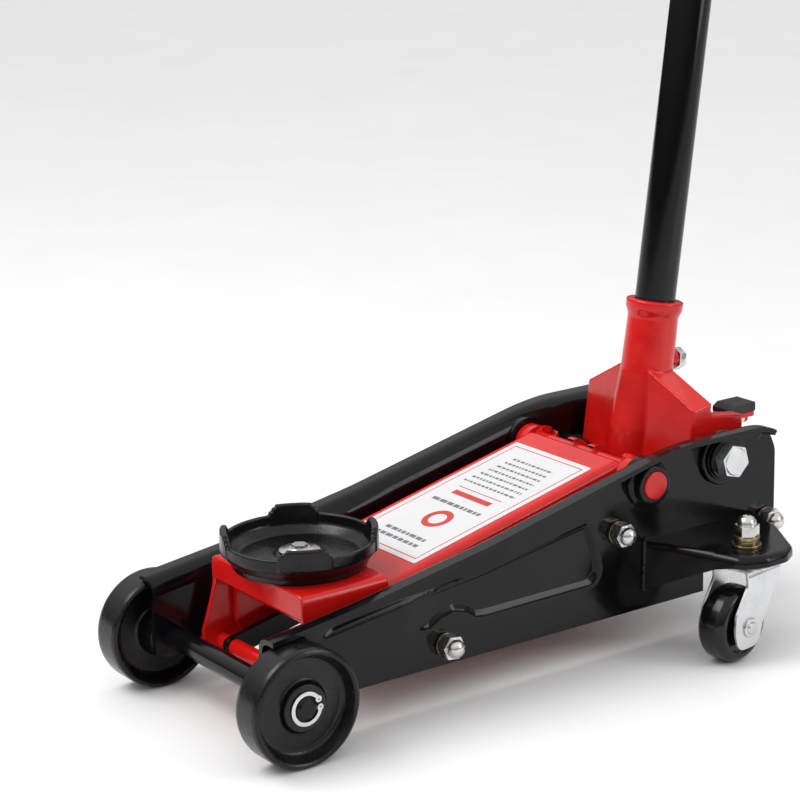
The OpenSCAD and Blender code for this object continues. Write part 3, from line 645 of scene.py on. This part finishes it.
def caster_bracket(side, name):
    """A pressed shelf whose edge rolls over into a lip and a deep front skirt."""
    outline = rounded(BRACKET, 8)
    roll, roll_steps, lip_depth, skirt_extra = 7.0, 6, 10.0, 36.0

    def pulled_in(point, amount):
        if point.x <= PLATE_OUT:
            return point
        return point + (BRACKET_MIDDLE - point).normalized() * amount

    bm = bmesh.new()
    spot = bm.verts.layers.int.new("spot")
    shelf = []
    for index, point in enumerate(outline):
        vert = bm.verts.new((*pulled_in(point, roll), SHELF_Z))
        vert[spot] = index
        shelf.append(vert)
    bm.faces.new(shelf)
    rim = [edge for edge in bm.edges if any(v.co.x > PLATE_OUT for v in edge.verts)]
    for step in range(1, roll_steps + 3):
        made = bmesh.ops.extrude_edge_only(bm, edges=rim)["geom"]
        rim = [g for g in made if isinstance(g, bmesh.types.BMEdge)]
        turn = math.pi / 2 * min(1.0, step / roll_steps)
        for vert in {v for edge in rim for v in edge.verts}:
            point = outline[vert[spot]]
            skirt = skirt_extra * blend_step(190 - point.x, 20, 104) if point.y < 415 else 0.0
            below = (lip_depth + skirt - roll) * max(0, step - roll_steps) / 2
            height = SHELF_Z - roll * (1 - math.cos(turn)) - below
            vert.co = (*pulled_in(point, roll * (1 - math.sin(turn))), height)
    bmesh.ops.recalc_face_normals(bm, faces=bm.faces)
    widest = max(bm.faces, key=lambda face: face.calc_area())
    if widest.normal.z < 0:
        bmesh.ops.reverse_faces(bm, faces=bm.faces)
    if side < 0:
        flip_side(bm)
        bmesh.ops.reverse_faces(bm, faces=bm.faces)
    piece(bm, f"{name}_pressing", "frame", BLACK, [name], wall=SHELF_T, bevel=0.6,
          orient=False)


def stud_fittings():
    """The swivel studs with a stack of washers under a domed nut."""
    bm = bmesh.new()
    acorn(bm, (*STUD, SHELF_Z + 10), (0, 0, 1), NUT_FLATS, 10)
    lathe(bm, [(0, 77), (10, 77, 1), (10, 82.7, 0.5), (6, 82.7), (6, 95), (0, 95)], (*STUD, 0), (0, 0, 1))
    mirrored(bm)
    piece(bm, "stud_acorn_nuts", "frame", ZINC, ["stud_nuts", "caster_studs"], bevel=0.4)
    bm = bmesh.new()
    for low, outer, height in ((0.0, 13.0, 2.6), (2.8, 10.6, 3.4), (6.4, 11.4, 3.4)):
        washer(bm, (*STUD, SHELF_Z + low), (0, 0, 1), outer, 6, height)
    mirrored(bm)
    # These washers take the yellow zinc darkened as painted shade.
    piece(bm, "stud_nut_washers", "frame", YELLOW_ZINC_AND_PAINTED_SHADE, ["stud_washers"])


def swivel_ring(side, name):
    """The dished bearing race between a bracket and its fork."""
    bm = bmesh.new()
    race = [(6, 0.4), (21, 0.4, 1), (25.5, 1.5, 1.5), (26, 4.2, 1.5), (22, 5.5, 1.5), (18, 8.4, 1), (6, 8.4)]
    lathe(bm, race, (*STUD, FORK_TOP), (0, 0, 1), closed=True)
    if side < 0:
        flip_side(bm)
    piece(bm, f"{name}_race", "frame", PALE_ZINC, [name])


CASTER_R = 34.0
TRAIL = 20.0
SWIVEL = math.radians(10)


def at_caster(bm, side):
    """Moves a shape modelled about the wheel centre, axle along X, to a caster."""
    bmesh.ops.translate(bm, vec=(0, -TRAIL, 0), verts=bm.verts)
    bmesh.ops.rotate(bm, cent=(0, 0, 0), matrix=Matrix.Rotation(SWIVEL, 3, "Z"), verts=bm.verts)
    bmesh.ops.translate(bm, vec=(*STUD, CASTER_R), verts=bm.verts)
    if side < 0:
        flip_side(bm)


def fork(side, name):
    """A fork bent from sheet, and the rivet that carries the wheel."""
    top = FORK_TOP - CASTER_R
    inner = 16.8
    outer = inner + 3
    depth = 23.5
    leg = [(-19, -3, 18), (-14, -19, 14), (14, -19, 14), (19, 0, 16), (TRAIL + 22, top - 14, 10),
           (TRAIL + depth, top - 4), (TRAIL - depth, top - 4), (TRAIL - 22, top - 14, 8), (-18, 14, 10)]
    crown = [(-outer, top - 8), (-outer, top, 4.5), (outer, top, 4.5), (outer, top - 8), (inner, top - 8),
             (inner, top - 3, 2), (-inner, top - 3, 2), (-inner, top - 8)]
    dish = [(6.1, top - 3), (25, top - 3), (25, top - 0.6, 1.2), (6.1, top)]
    rivet = [(0, 0), (8.6, 0, 0.6), (8.6, 2.2, 0.8), (5.4, 2.2), (4.6, 4.0, 0.8), (0, 4.0)]
    caster = name.replace("fork", "caster")
    axle = name.replace("fork", "caster_axle")
    bm = bmesh.new()
    for x in (inner, -outer):
        slab_x(bm, leg, x, x + 3, 8)
    slab_y(bm, crown, TRAIL - depth, TRAIL + depth)
    lathe(bm, dish, (0, TRAIL, 0), (0, 0, 1), closed=True)
    at_caster(bm, side)
    piece(bm, f"{name}_pressing", caster, PALE_ZINC, [name], bevel=0.7)
    bm = bmesh.new()
    for end in (1, -1):
        lathe(bm, rivet, (end * outer, 0, 0), (end, 0, 0))
    lathe(bm, [(0, -20), (5, -20), (5, 20), (0, 20)], (0, 0, 0), (1, 0, 0))
    at_caster(bm, side)
    piece(bm, name.replace("fork", "caster_rivet"), caster, ZINC, [axle])


def caster_wheel(side, name):
    """A small solid wheel turned about the rivet."""
    profile = [(5.1, -14.5), (11, -14.5, 1), (13, -11.5, 1.5), (23, -11.5, 2), (25, -14.2, 1), (29, -13.6, 4),
               (33.4, -9, 6), (34, 0, 14), (33.4, 9, 6), (29, 13.6, 4), (25, 14.2, 1), (23, 11.5, 2),
               (13, 11.5, 1.5), (11, 14.5, 1), (5.1, 14.5)]
    bm = bmesh.new()
    lathe(bm, profile, (0, 0, 0), (1, 0, 0), steps=96, closed=True, round_steps=6)
    at_caster(bm, side)
    piece(bm, f"{name}_moulding", name, WHEEL_PLASTIC, [name])


for side_name, sign in SIDES:
    caster_bracket(sign, f"caster_bracket_{side_name}")
    swivel_ring(sign, f"swivel_ring_{side_name}")
    fork(sign, f"fork_{side_name}")
    caster_wheel(sign, f"caster_wheel_{side_name}")
stud_fittings()


# ---------- lift arm ----------

ARM_HALF = 64.0
ARM_FRONT = 50.0
ARM_REAR = 376.0
ARM_SLOPE = 0.237
ARM_T = 6.0
LABEL_FRONT = 156.0
ARM_LOW = [(50, 58), (54, 48), (62, 41.2), (75, 40.7), (312, 96.8), (346, 128), (376, 133), (400, 133)]


def arm_top(y):
    """Height of the arm's sloping top at a distance behind the axle."""
    return 169.0 - ARM_SLOPE * (ARM_REAR - y)


def arm_section(y):
    """Top and bottom of the arm's side wall at a distance behind the axle."""
    py, pz = ARM_PIVOT
    radius = 19.0
    top = arm_top(y)
    low = along(ARM_LOW, y)
    if y > py - 8:
        reach = math.sqrt(max(0.0, radius ** 2 - (y - py) ** 2))
        top = min(top, pz + reach)
    if y > py:
        low = pz - math.sqrt(max(0.0, radius ** 2 - (y - py) ** 2))
    return top, low


def lift_arm():
    """A channel pressed from one sheet: a grid wrapped up one side, over the top and down the other."""
    corner = 8.0
    wall_rows, corner_rows, half_rows = 14, 6, 8
    side_rows = wall_rows + corner_rows
    rows = 2 * (side_rows + half_rows)
    columns = 140
    rear = ARM_PIVOT[0] + 18.9
    bm = bmesh.new()
    bmesh.ops.create_grid(bm, x_segments=columns, y_segments=rows, size=1.0)
    for vert in bm.verts:
        t = (vert.co.x + 1) / 2
        y = ARM_FRONT + (rear - ARM_FRONT) * (1 - (1 - t) ** 1.35)
        row = round((vert.co.y + 1) / 2 * rows)
        side = -1 if row < rows / 2 else 1
        row = min(row, rows - row)
        top, low = arm_section(y)
        ease = corner * blend_step(rear - y, 0, 10)
        if row <= wall_rows:
            x = ARM_HALF
            z = low + (top - ease - low) * row / wall_rows
        elif row <= side_rows:
            a = math.pi / 2 * (row - wall_rows) / corner_rows
            x = ARM_HALF - ease * (1 - math.cos(a))
            z = top - ease * (1 - math.sin(a))
        else:
            x = (ARM_HALF - ease) * (1 - (row - side_rows) / half_rows)
            z = top
        droop = 0.0
        if row > wall_rows + 2 and y < ARM_REAR + 3:
            droop = 5.0 * blend_step(y, ARM_REAR - 9, ARM_REAR + 2)
        vert.co = (side * x, y, z - droop)
    middles = [(f, f.calc_center_median()) for f in bm.faces]
    gone = [f for f, middle in middles if middle.y > ARM_REAR and abs(middle.x) < ARM_HALF - 7]
    bmesh.ops.delete(bm, geom=gone, context="FACES")
    bmesh.ops.recalc_face_normals(bm, faces=bm.faces)
    highest = max(bm.faces, key=lambda f: f.calc_center_median().z)
    if highest.normal.z < 0:
        bmesh.ops.reverse_faces(bm, faces=bm.faces)
    piece(bm, "lift_arm_pressing", "arm", RED, ["lift_arm"], wall=ARM_T, bevel=1.0,
          orient=False)
    bm = bmesh.new()
    hub = [(12.4, 0), (17, 0), (17, 13.6, 1.5), (12.4, 13.6)]
    lathe(bm, hub, (ARM_HALF - 0.2, *ARM_PIVOT), (1, 0, 0), closed=True)
    mirrored(bm)
    piece(bm, "arm_hubs", "arm", RED)


def on_arm(bm):
    """Lays a shape drawn flat at the front of the label onto the arm's sloping top."""
    slope = math.atan(ARM_SLOPE)
    bmesh.ops.rotate(bm, cent=(0, 0, 0), matrix=Matrix.Rotation(slope, 3, "X"), verts=bm.verts)
    bmesh.ops.translate(bm, vec=(0, LABEL_FRONT, arm_top(LABEL_FRONT)), verts=bm.verts)


def label():
    """A plain panel with a border and generic marks in place of any words."""
    width, run = 105.0, 197.0
    bm = bmesh.new()
    slab_z(bm, [(-width / 2, 0, 2), (width / 2, 0, 2), (width / 2, run, 2), (-width / 2, run, 2)], 0, 0.5)
    on_arm(bm)
    piece(bm, "label_plate", "arm", LABEL, ["arm_label"])
    bm = bmesh.new()
    inset, line = 5.5, 1.1
    low_x, high_x = -width / 2 + inset, width / 2 - inset
    for y in (inset, run - inset - line):
        block(bm, (low_x, y, 0.4), (high_x, y + line, 0.56))
    for x in (low_x, high_x - line):
        block(bm, (x, inset, 0.4), (x + line, run - inset, 0.56))
    block(bm, (-30, 112, 0.4), (30, 113, 0.56))
    lathe(bm, [(8.5, 0.4), (14.5, 0.4), (14.5, 0.56), (8.5, 0.56)], (4, 62, 0), (0, 0, 1), closed=True)
    block(bm, (-26, 100, 0.4), (26, 106.5, 0.56))
    on_arm(bm)
    piece(bm, "label_red_marks", "arm", RED_INK)
    bm = bmesh.new()
    chance = random.Random(11)
    lines = [(18, 30, 4.2), (28, 28, 4.2), (84, 34, 4.4)]
    lines += [(122 + 8.2 * k, 36 - 1.5 * k, 2.6) for k in range(7)]
    for y, reach, height in lines:
        x = -reach
        while x < reach:
            stretch = chance.uniform(3.0, 9.0) * height / 4.2
            block(bm, (x, y, 0.4), (min(x + stretch, reach), y + height, 0.56))
            x += stretch + 1.6
    on_arm(bm)
    piece(bm, "label_grey_marks", "arm", GREY_INK)


lift_arm()
label()


# ---------- head and saddle ----------

def saddle_head():
    """The level head: two cheeks under a folded crown, with the pins it hangs on."""
    half, top, wall_low, inside, roof = 70, 120, 92, 65, 112
    cheek = [(33, 112, 3), (35, 104, 4), (29, 80, 6), (20, 54, 8), (19, 38, 10), (25, 29.5, 8), (40, 30.5, 8),
             (60, 43, 8), (100, 64, 10), (114, 84, 10), (118, 104, 4), (118, 112, 2)]
    crown = [(-half, wall_low), (-half, top, 9), (half, top, 9), (half, wall_low), (inside, wall_low),
             (inside, roof, 3), (-inside, roof, 3), (-inside, wall_low)]
    lip = [(-69.5, 99, 5), (-69.5, 119.6, 8), (69.5, 119.6, 8), (69.5, 99, 5)]
    bm = bmesh.new()
    for x in (65.3, -69.7):
        slab_x(bm, cheek, x, x + 4.4, 6)
    slab_y(bm, crown, 33, 118, 7)
    slab_y(bm, lip, 32.6, 38, 7)
    piece(bm, "saddle_head_pressing", "head", RED, ["saddle_head"], bevel=1.8, bevel_steps=3)
    bm = bmesh.new()
    lathe(bm, [(0, -71), (7, -71, 1), (7, 71, 1), (0, 71)], (0, *HEAD_LOW_PIN), (1, 0, 0))
    piece(bm, "link_cross_pin", "head", RED, ["link_pin"])
    bm = bmesh.new()
    lathe(bm, [(0, -72), (8, -72, 1.2), (8, 72, 1.2), (0, 72)], (0, *HEAD_PIN), (1, 0, 0))
    piece(bm, "head_hinge_pin", "arm", RED, ["head_pivot_pin"])


def saddle():
    """A cast cup with four raised lugs, held down by a washer and a bolt."""
    rim_r, base_z, rim_z, lug_z = 65.0, 120.3, 144.5, 153.0
    bm = bmesh.new()
    profile = [(0, 108), (15, 108), (15, base_z), (56.5, base_z, 2), (58, base_z + 6, 4),
               (rim_r, base_z + 14, 4), (rim_r + 0.2, rim_z, 1.2), (rim_r - 3.8, rim_z, 1.2),
               (rim_r - 4.2, base_z + 15, 5), (52, base_z + 8, 6), (22, base_z + 8, 3),
               (19, base_z + 11, 1), (0, base_z + 11)]
    lathe(bm, profile, (*SADDLE, 0), (0, 0, 1), steps=160)
    for k in range(4):
        middle = math.radians(-29 + 90 * k)
        for half, top in ((14, lug_z), (17, lug_z - 2.5), (19.5, lug_z - 5.5)):
            begin = middle - math.radians(half)
            lathe(bm, [(rim_r - 5.2, base_z + 14), (rim_r + 1.2, base_z + 14), (rim_r + 1.0, top, 1.6),
                       (rim_r - 4.6, top, 1.6)], (*SADDLE, 0), (0, 0, 1), steps=30, closed=True,
                  angle=2 * half, start=(math.cos(begin), math.sin(begin), 0))
    piece(bm, "saddle_casting", "saddle", CAST_BLACK, ["saddle"], remesh=0.9, smooth=4)
    bm = bmesh.new()
    lathe(bm, [(5, 0), (17.5, 0, 0.6), (17.5, 1.3, 0.6), (10, 2.6, 1.5), (9, 3.4, 1), (5, 3.4)],
          (*SADDLE, base_z + 11.6), (0, 0, 1), closed=True)
    piece(bm, "saddle_cup_washer", "saddle", ZINC, ["saddle_washer"])
    bm = bmesh.new()
    hexagon(bm, (*SADDLE, base_z + 14.2), (0, 0, 1), 12, 3.0, 10, chamfer=0.6)
    lathe(bm, [(0, 0), (4.9, 0), (4.9, 5), (0, 5)], (*SADDLE, 110), (0, 0, 1), steps=24)
    piece(bm, "saddle_bolt", "saddle", ZINC, ["saddle_screw"], bevel=0.3)


saddle_head()
saddle()


# ---------- handle socket and handle ----------

def leaned(bm):
    """Moves a shape drawn upright about the handle pivot to its leaning place."""
    bmesh.ops.rotate(bm, cent=(0, 0, 0), matrix=Matrix.Rotation(-LEAN, 3, "X"), verts=bm.verts)
    bmesh.ops.translate(bm, vec=(0, *HANDLE_PIVOT), verts=bm.verts)


def tapered(bm, rings):
    """A solid extruded from its first outline to each matching one in turn."""
    corner = bm.verts.layers.int.get("corner") or bm.verts.layers.int.new("corner")
    verts = [bm.verts.new(point) for point in rings[0]]
    for index, vert in enumerate(verts):
        vert[corner] = index
    face = bm.faces.new(verts)
    for ring in rings[1:]:
        made = bmesh.ops.extrude_face_region(bm, geom=[face])["geom"]
        face = next(g for g in made if isinstance(g, bmesh.types.BMFace))
        for vert in face.verts:
            vert.co = ring[vert[corner]]


def shoulder(bm, sign):
    """The sloping shoulder from the tube to one ear, and the front wall under it."""
    def ring(x, front, rear, low, high_front, high_rear):
        x *= sign
        return [(x, front, low), (x, rear, low), (x, rear, high_rear), (x, front, high_front)]

    tapered(bm, [ring(4, -38, -9, 27, 68, 68), ring(18, -38, -9, 27, 66, 67),
                 ring(EAR_OUT, -26.5, -6, 27, 38.5, 45.5)])
    tapered(bm, [ring(4, -38, -17, -20, 28, 28), ring(18, -38, -17, -20, 28, 28),
                 ring(EAR_OUT, -26.5, -15, -18, 28, 28)])


def handle_socket():
    """The cast socket: a flared tube between two ears, the roller's lobe and the clamp boss."""
    profile = [(0, -22), (22, -22, 3), (25, -16, 3), (25, 10), (23.8, 62, 40), (22.8, 112, 8), (25.6, 119, 2),
               (26, 127, 2), (0, 127)]
    ear = [(9.1, 0), (21, 0), (21, 15.6), (9.1, 15.6)]
    lobe = [(452, 170), (452, 196), (507, 188.0, 3), (507, 177.2, 3), (500, 161, 6), (480, 150)]
    bm = bmesh.new()
    lathe(bm, profile, (0, TUBE_SHIFT, 0), (0, 0, 1), steps=96)
    for vert in bm.verts:
        vert.co.y -= 5.5 * blend_step(66 - vert.co.z, 0, 56)
    for sign in (1, -1):
        shoulder(bm, sign)
        lathe(bm, ear, (sign * EAR_IN, 0, 0), (sign, 0, 0), closed=True)
        near, far = sorted((sign * EAR_IN, sign * EAR_OUT))
        block(bm, (near, -26, -18), (far, -4, 38))
    lathe(bm, [(0, 12), (9.5, 12), (9, 31), (0, 31)], (0, TUBE_SHIFT, CLAMP_Z), (0, 1, 0))
    leaned(bm)
    slab_x(bm, lobe, 60, EAR_OUT)
    bmesh.ops.recalc_face_normals(bm, faces=bm.faces)
    piece(bm, "handle_socket_casting", "socket", CAST_RED, ["handle_socket"], remesh=1.0,
          smooth=5)
    bm = bmesh.new()
    hexagon(bm, (0, TUBE_SHIFT + 31, CLAMP_Z), (0, 1, 0), 18, 7.5, 10, chamfer=1.0)
    lathe(bm, [(0, 18.6), (5, 18.6), (5, 32), (0, 32)], (0, TUBE_SHIFT, CLAMP_Z), (0, 1, 0), steps=24)
    leaned(bm)
    piece(bm, "handle_clamp_bolt", "socket", ZINC, ["clamp_bolt"], bevel=0.5)


def handle():
    """Two tubes, the upper one spigoted into the lower, and a ribbed grip."""
    joint = 560.0
    radius = HANDLE_D / 2
    bore = radius - 2.5
    bm = bmesh.new()
    lathe(bm, [(bore, 40), (radius, 40, 0.6), (radius, joint - 0.2, 1.2), (bore, joint - 0.2)],
          (0, TUBE_SHIFT, 0), (0, 0, 1), steps=96, closed=True)
    leaned(bm)
    piece(bm, "handle_tube_lower", "handle", TUBE_BLACK, ["handle_lower_tube"])
    bm = bmesh.new()
    top = HANDLE_REACH - 4
    lathe(bm, [(radius - 4.5, joint - 60), (radius - 2.6, joint - 60), (radius - 2.6, joint),
               (radius, joint + 0.2, 1.0), (radius, top), (radius - 4.5, top)],
          (0, TUBE_SHIFT, 0), (0, 0, 1), steps=96, closed=True)
    leaned(bm)
    piece(bm, "handle_tube_upper", "handle", TUBE_BLACK, ["handle_upper_tube"])
    bm = bmesh.new()
    grip_r = radius + 3.4
    low = HANDLE_REACH - 130
    profile = [(radius, low), (grip_r - 1.4, low, 1)]
    ribs = 20
    for k in range(ribs):
        z = low + 6 + k * 5.6
        profile += [(grip_r - 1.2, z), (grip_r, z + 1, 0.5), (grip_r, z + 3.2, 0.5), (grip_r - 1.2, z + 4.2)]
    profile += [(grip_r - 1.2, HANDLE_REACH - 9), (grip_r - 0.6, HANDLE_REACH - 5, 2),
                (radius - 3, HANDLE_REACH, 4), (0, HANDLE_REACH)]
    lathe(bm, profile, (0, TUBE_SHIFT, 0), (0, 0, 1), steps=96, round_steps=3)
    leaned(bm)
    piece(bm, "handle_grip_sleeve", "handle", RUBBER, ["handle_grip"])


handle_socket()
handle()


# ---------- quick-lift pedal ----------

def pedal():
    """The quick-lift lever with its foot plate, pad and rivet."""
    near, far = 43.7, 20.3
    pad = [(518.2, 177, 1), (518.2, 182, 2), (524, 185.8, 3), (549.8, 185.8, 2), (549.8, 177, 1)]
    plate = [(far, 516.4, 3), (near, 516.4, 3), (near, 549.6, 3), (far, 549.6, 3)]
    bm = bmesh.new()
    lever = [(465, 170, 4), (502, 177, 20), (549.6, 177), (549.6, 165, 4), (519, 163, 5), (517, 150.3, 1.5),
             (507, 150.3, 1.5), (502, 158, 5), (477, 147, 6), (462, 147.5, 8), (457, 156, 8), (457, 164, 8)]
    slab_x(bm, lever, 28, 35, 6)
    slab_z(bm, plate, 172, 177)
    piece(bm, "pedal_lever_plate", "pedal", RED, ["pedal_lever"], bevel=1.0)
    bm = bmesh.new()
    slab_x(bm, pad, far, near)
    for k in range(5):
        y = 527 + k * 4.4
        slab_x(bm, [(y, 185), (y, 186, 0.4), (y + 2, 186, 0.4), (y + 2, 185)], 22.0, 42.0)
    piece(bm, "pedal_pad_moulding", "pedal", RUBBER, ["pedal_pad"], bevel=0.7)
    bm = bmesh.new()
    lathe(bm, [(0, 0), (4, 0), (3.6, 1.8, 0.8), (2, 3, 0.8), (0, 3)], (35, 540, 169), (1, 0, 0), steps=32)
    piece(bm, "pedal_rivet_head", "pedal", ZINC, ["pedal_rivet"])


pedal()


# ---------- pump unit ----------

def pump_unit():
    """The pump block and ram between the plates; the working parts keep their CAD shapes."""
    cylinder = [(18.5, 440), (26, 440, 1), (26, 474), (18.5, 474)]
    gland = [(12.1, 434), (24.5, 434, 1), (24.5, 440), (12.1, 440)]
    plug = [(0, 113), (5, 113), (5, 122), (8, 122, 0.5), (8, 126, 1), (0, 126)]
    bm = bmesh.new()
    block(bm, (-52, 472, 66), (60, 533.5, 121.8))
    piece(bm, "pump_block_casting", "frame", CAST_BLACK, ["pump_block"], bevel=2.4,
          bevel_steps=3)
    bm = bmesh.new()
    for start, end in ((-80.7, -51), (59, 80.7)):
        sleeve = [(6.2, start), (11, start, 1), (11, end), (6.2, end)]
        lathe(bm, sleeve, (0, *TIE_REAR), (1, 0, 0), closed=True)
    piece(bm, "block_sleeve", "frame", CAST_BLACK)
    bm = bmesh.new()
    lathe(bm, cylinder, (0, 0, RAM_Z), (0, 1, 0), closed=True)
    piece(bm, "ram_cylinder_tube", "frame", CAST_BLACK, ["ram_cylinder"])
    bm = bmesh.new()
    lathe(bm, gland, (0, 0, RAM_Z), (0, 1, 0), closed=True)
    piece(bm, "ram_gland", "frame", DARK_STEEL, ["gland_nut"], bevel=0.5)
    bm = bmesh.new()
    lathe(bm, plug, (-40, 500, 0), (0, 0, 1))
    piece(bm, "oil_filler_plug", "frame", RUBBER, ["filler_plug"])
    refinish(GROUND_STEEL, "ram_rod", "crosshead_pin", "pump_plunger", "quick_plunger", "roller_pin",
             "pump_roller")
    refinish(DARK_STEEL, "tie_rod_front", "tie_rod_rear", "link_bolts", "pump_spring")
    refinish(ZINC, "release_valve")
    refinish(RED, "ram_lever")


def radius_rods():
    """Flat bars that keep the head level, one inside each wall of the arm."""
    half, end_r = 9.0, 8.5
    front, rear = Vector(HEAD_LOW_PIN), Vector(LINK_PIVOT)
    run = rear - front
    across = Vector((-run.y, run.x)).normalized() * half
    ahead = run.normalized() * half
    corners = (front - across - ahead, rear - across + ahead, rear + across + ahead, front + across - ahead)
    for name, sign in SIDES:
        bm = bmesh.new()
        slab_x(bm, [(*corner, end_r) for corner in corners], 44, 50, 8)
        if sign < 0:
            flip_side(bm)
        rod = f"radius_rod_{name}"
        piece(bm, f"radius_rod_bar_{name}", rod, BLACK, [rod], bevel=0.8)


pump_unit()
radius_rods()


# ---------- studio ----------

def studio():
    """A pale floor, a room that brightens overhead, and two softboxes."""
    bm = bmesh.new()
    bmesh.ops.create_grid(bm, x_segments=1, y_segments=1, size=6.0)
    mesh = bpy.data.meshes.new("studio_floor")
    bm.to_mesh(mesh)
    bm.free()
    mesh.materials.append(FLOOR)
    floor = bpy.data.objects.new("studio_floor", mesh)
    bpy.context.scene.collection.objects.link(floor)

    world = bpy.data.worlds.new("studio")
    world.use_nodes = True
    nodes = world.node_tree.nodes
    links = world.node_tree.links
    seen = nodes["Background"]
    seen.inputs["Color"].default_value = (1.0, 1.0, 1.0, 1.0)
    room = nodes.new("ShaderNodeBackground")
    height = nodes.new("ShaderNodeSeparateXYZ")
    links.new(nodes.new("ShaderNodeTexCoord").outputs["Generated"], height.inputs["Vector"])
    shade = nodes.new("ShaderNodeValToRGB")
    shade.color_ramp.elements[0].position = 0.0
    shade.color_ramp.elements[0].color = (0.04, 0.04, 0.045, 1)
    shade.color_ramp.elements[1].position = 0.6
    shade.color_ramp.elements[1].color = (1.0, 1.0, 1.0, 1)
    links.new(height.outputs["Z"], shade.inputs["Fac"])
    links.new(shade.outputs["Color"], room.inputs["Color"])
    room.inputs["Strength"].default_value = 1.0
    path = nodes.new("ShaderNodeLightPath")
    choose = nodes.new("ShaderNodeMixShader")
    links.new(path.outputs["Is Camera Ray"], choose.inputs["Fac"])
    links.new(room.outputs["Background"], choose.inputs[1])
    links.new(seen.outputs["Background"], choose.inputs[2])
    links.new(choose.outputs["Shader"], nodes["World Output"].inputs["Surface"])
    bpy.context.scene.world = world
    bpy.context.scene.view_settings.view_transform = "Standard"

    def softbox(name, place, target, size, power):
        lamp = bpy.data.lights.new(name, "AREA")
        lamp.shape = "RECTANGLE"
        lamp.size, lamp.size_y = size
        lamp.energy = power
        obj = bpy.data.objects.new(name, lamp)
        obj.location = place
        obj.rotation_euler = (Vector(target) - Vector(place)).to_track_quat("-Z", "Y").to_euler()
        bpy.context.scene.collection.objects.link(obj)

    softbox("key", (-0.6, -1.4, 2.2), (0, 0, 0.1), (1.6, 1.2), 34)
    softbox("side", (1.6, 1.1, 0.9), (0, 0.0, 0.1), (0.7, 1.1), 9)


# Place in metres with the front axle's station as zero, angles in degrees, lens in millimetres
CAMERA_PLACE = (1.65666, -0.98841, 0.80369)
CAMERA_ANGLES = (54.755, 15.459, -1.186)
CAMERA_LENS = 112.54


def camera():
    """Stands at a distance ahead and to the right, turned by azimuth, elevation and roll in degrees."""
    azimuth, elevation, roll = (math.radians(a) for a in CAMERA_ANGLES)
    back = Vector((math.sin(azimuth) * math.cos(elevation), -math.cos(azimuth) * math.cos(elevation),
                   math.sin(elevation)))
    right = Vector((math.cos(azimuth), math.sin(azimuth), 0))
    up = back.cross(right)
    turned_right = right * math.cos(roll) + up * math.sin(roll)
    turned_up = up * math.cos(roll) - right * math.sin(roll)
    data = bpy.data.cameras.new("camera")
    data.sensor_width = 36.0
    data.lens = CAMERA_LENS
    obj = bpy.data.objects.new("camera", data)
    turn = Matrix((turned_right, turned_up, back)).transposed().to_4x4()
    obj.matrix_world = Matrix.Translation(Vector(CAMERA_PLACE) + Vector((0, AXLE_Y, 0))) @ turn
    bpy.context.scene.collection.objects.link(obj)
    bpy.context.scene.camera = obj


studio()
camera()
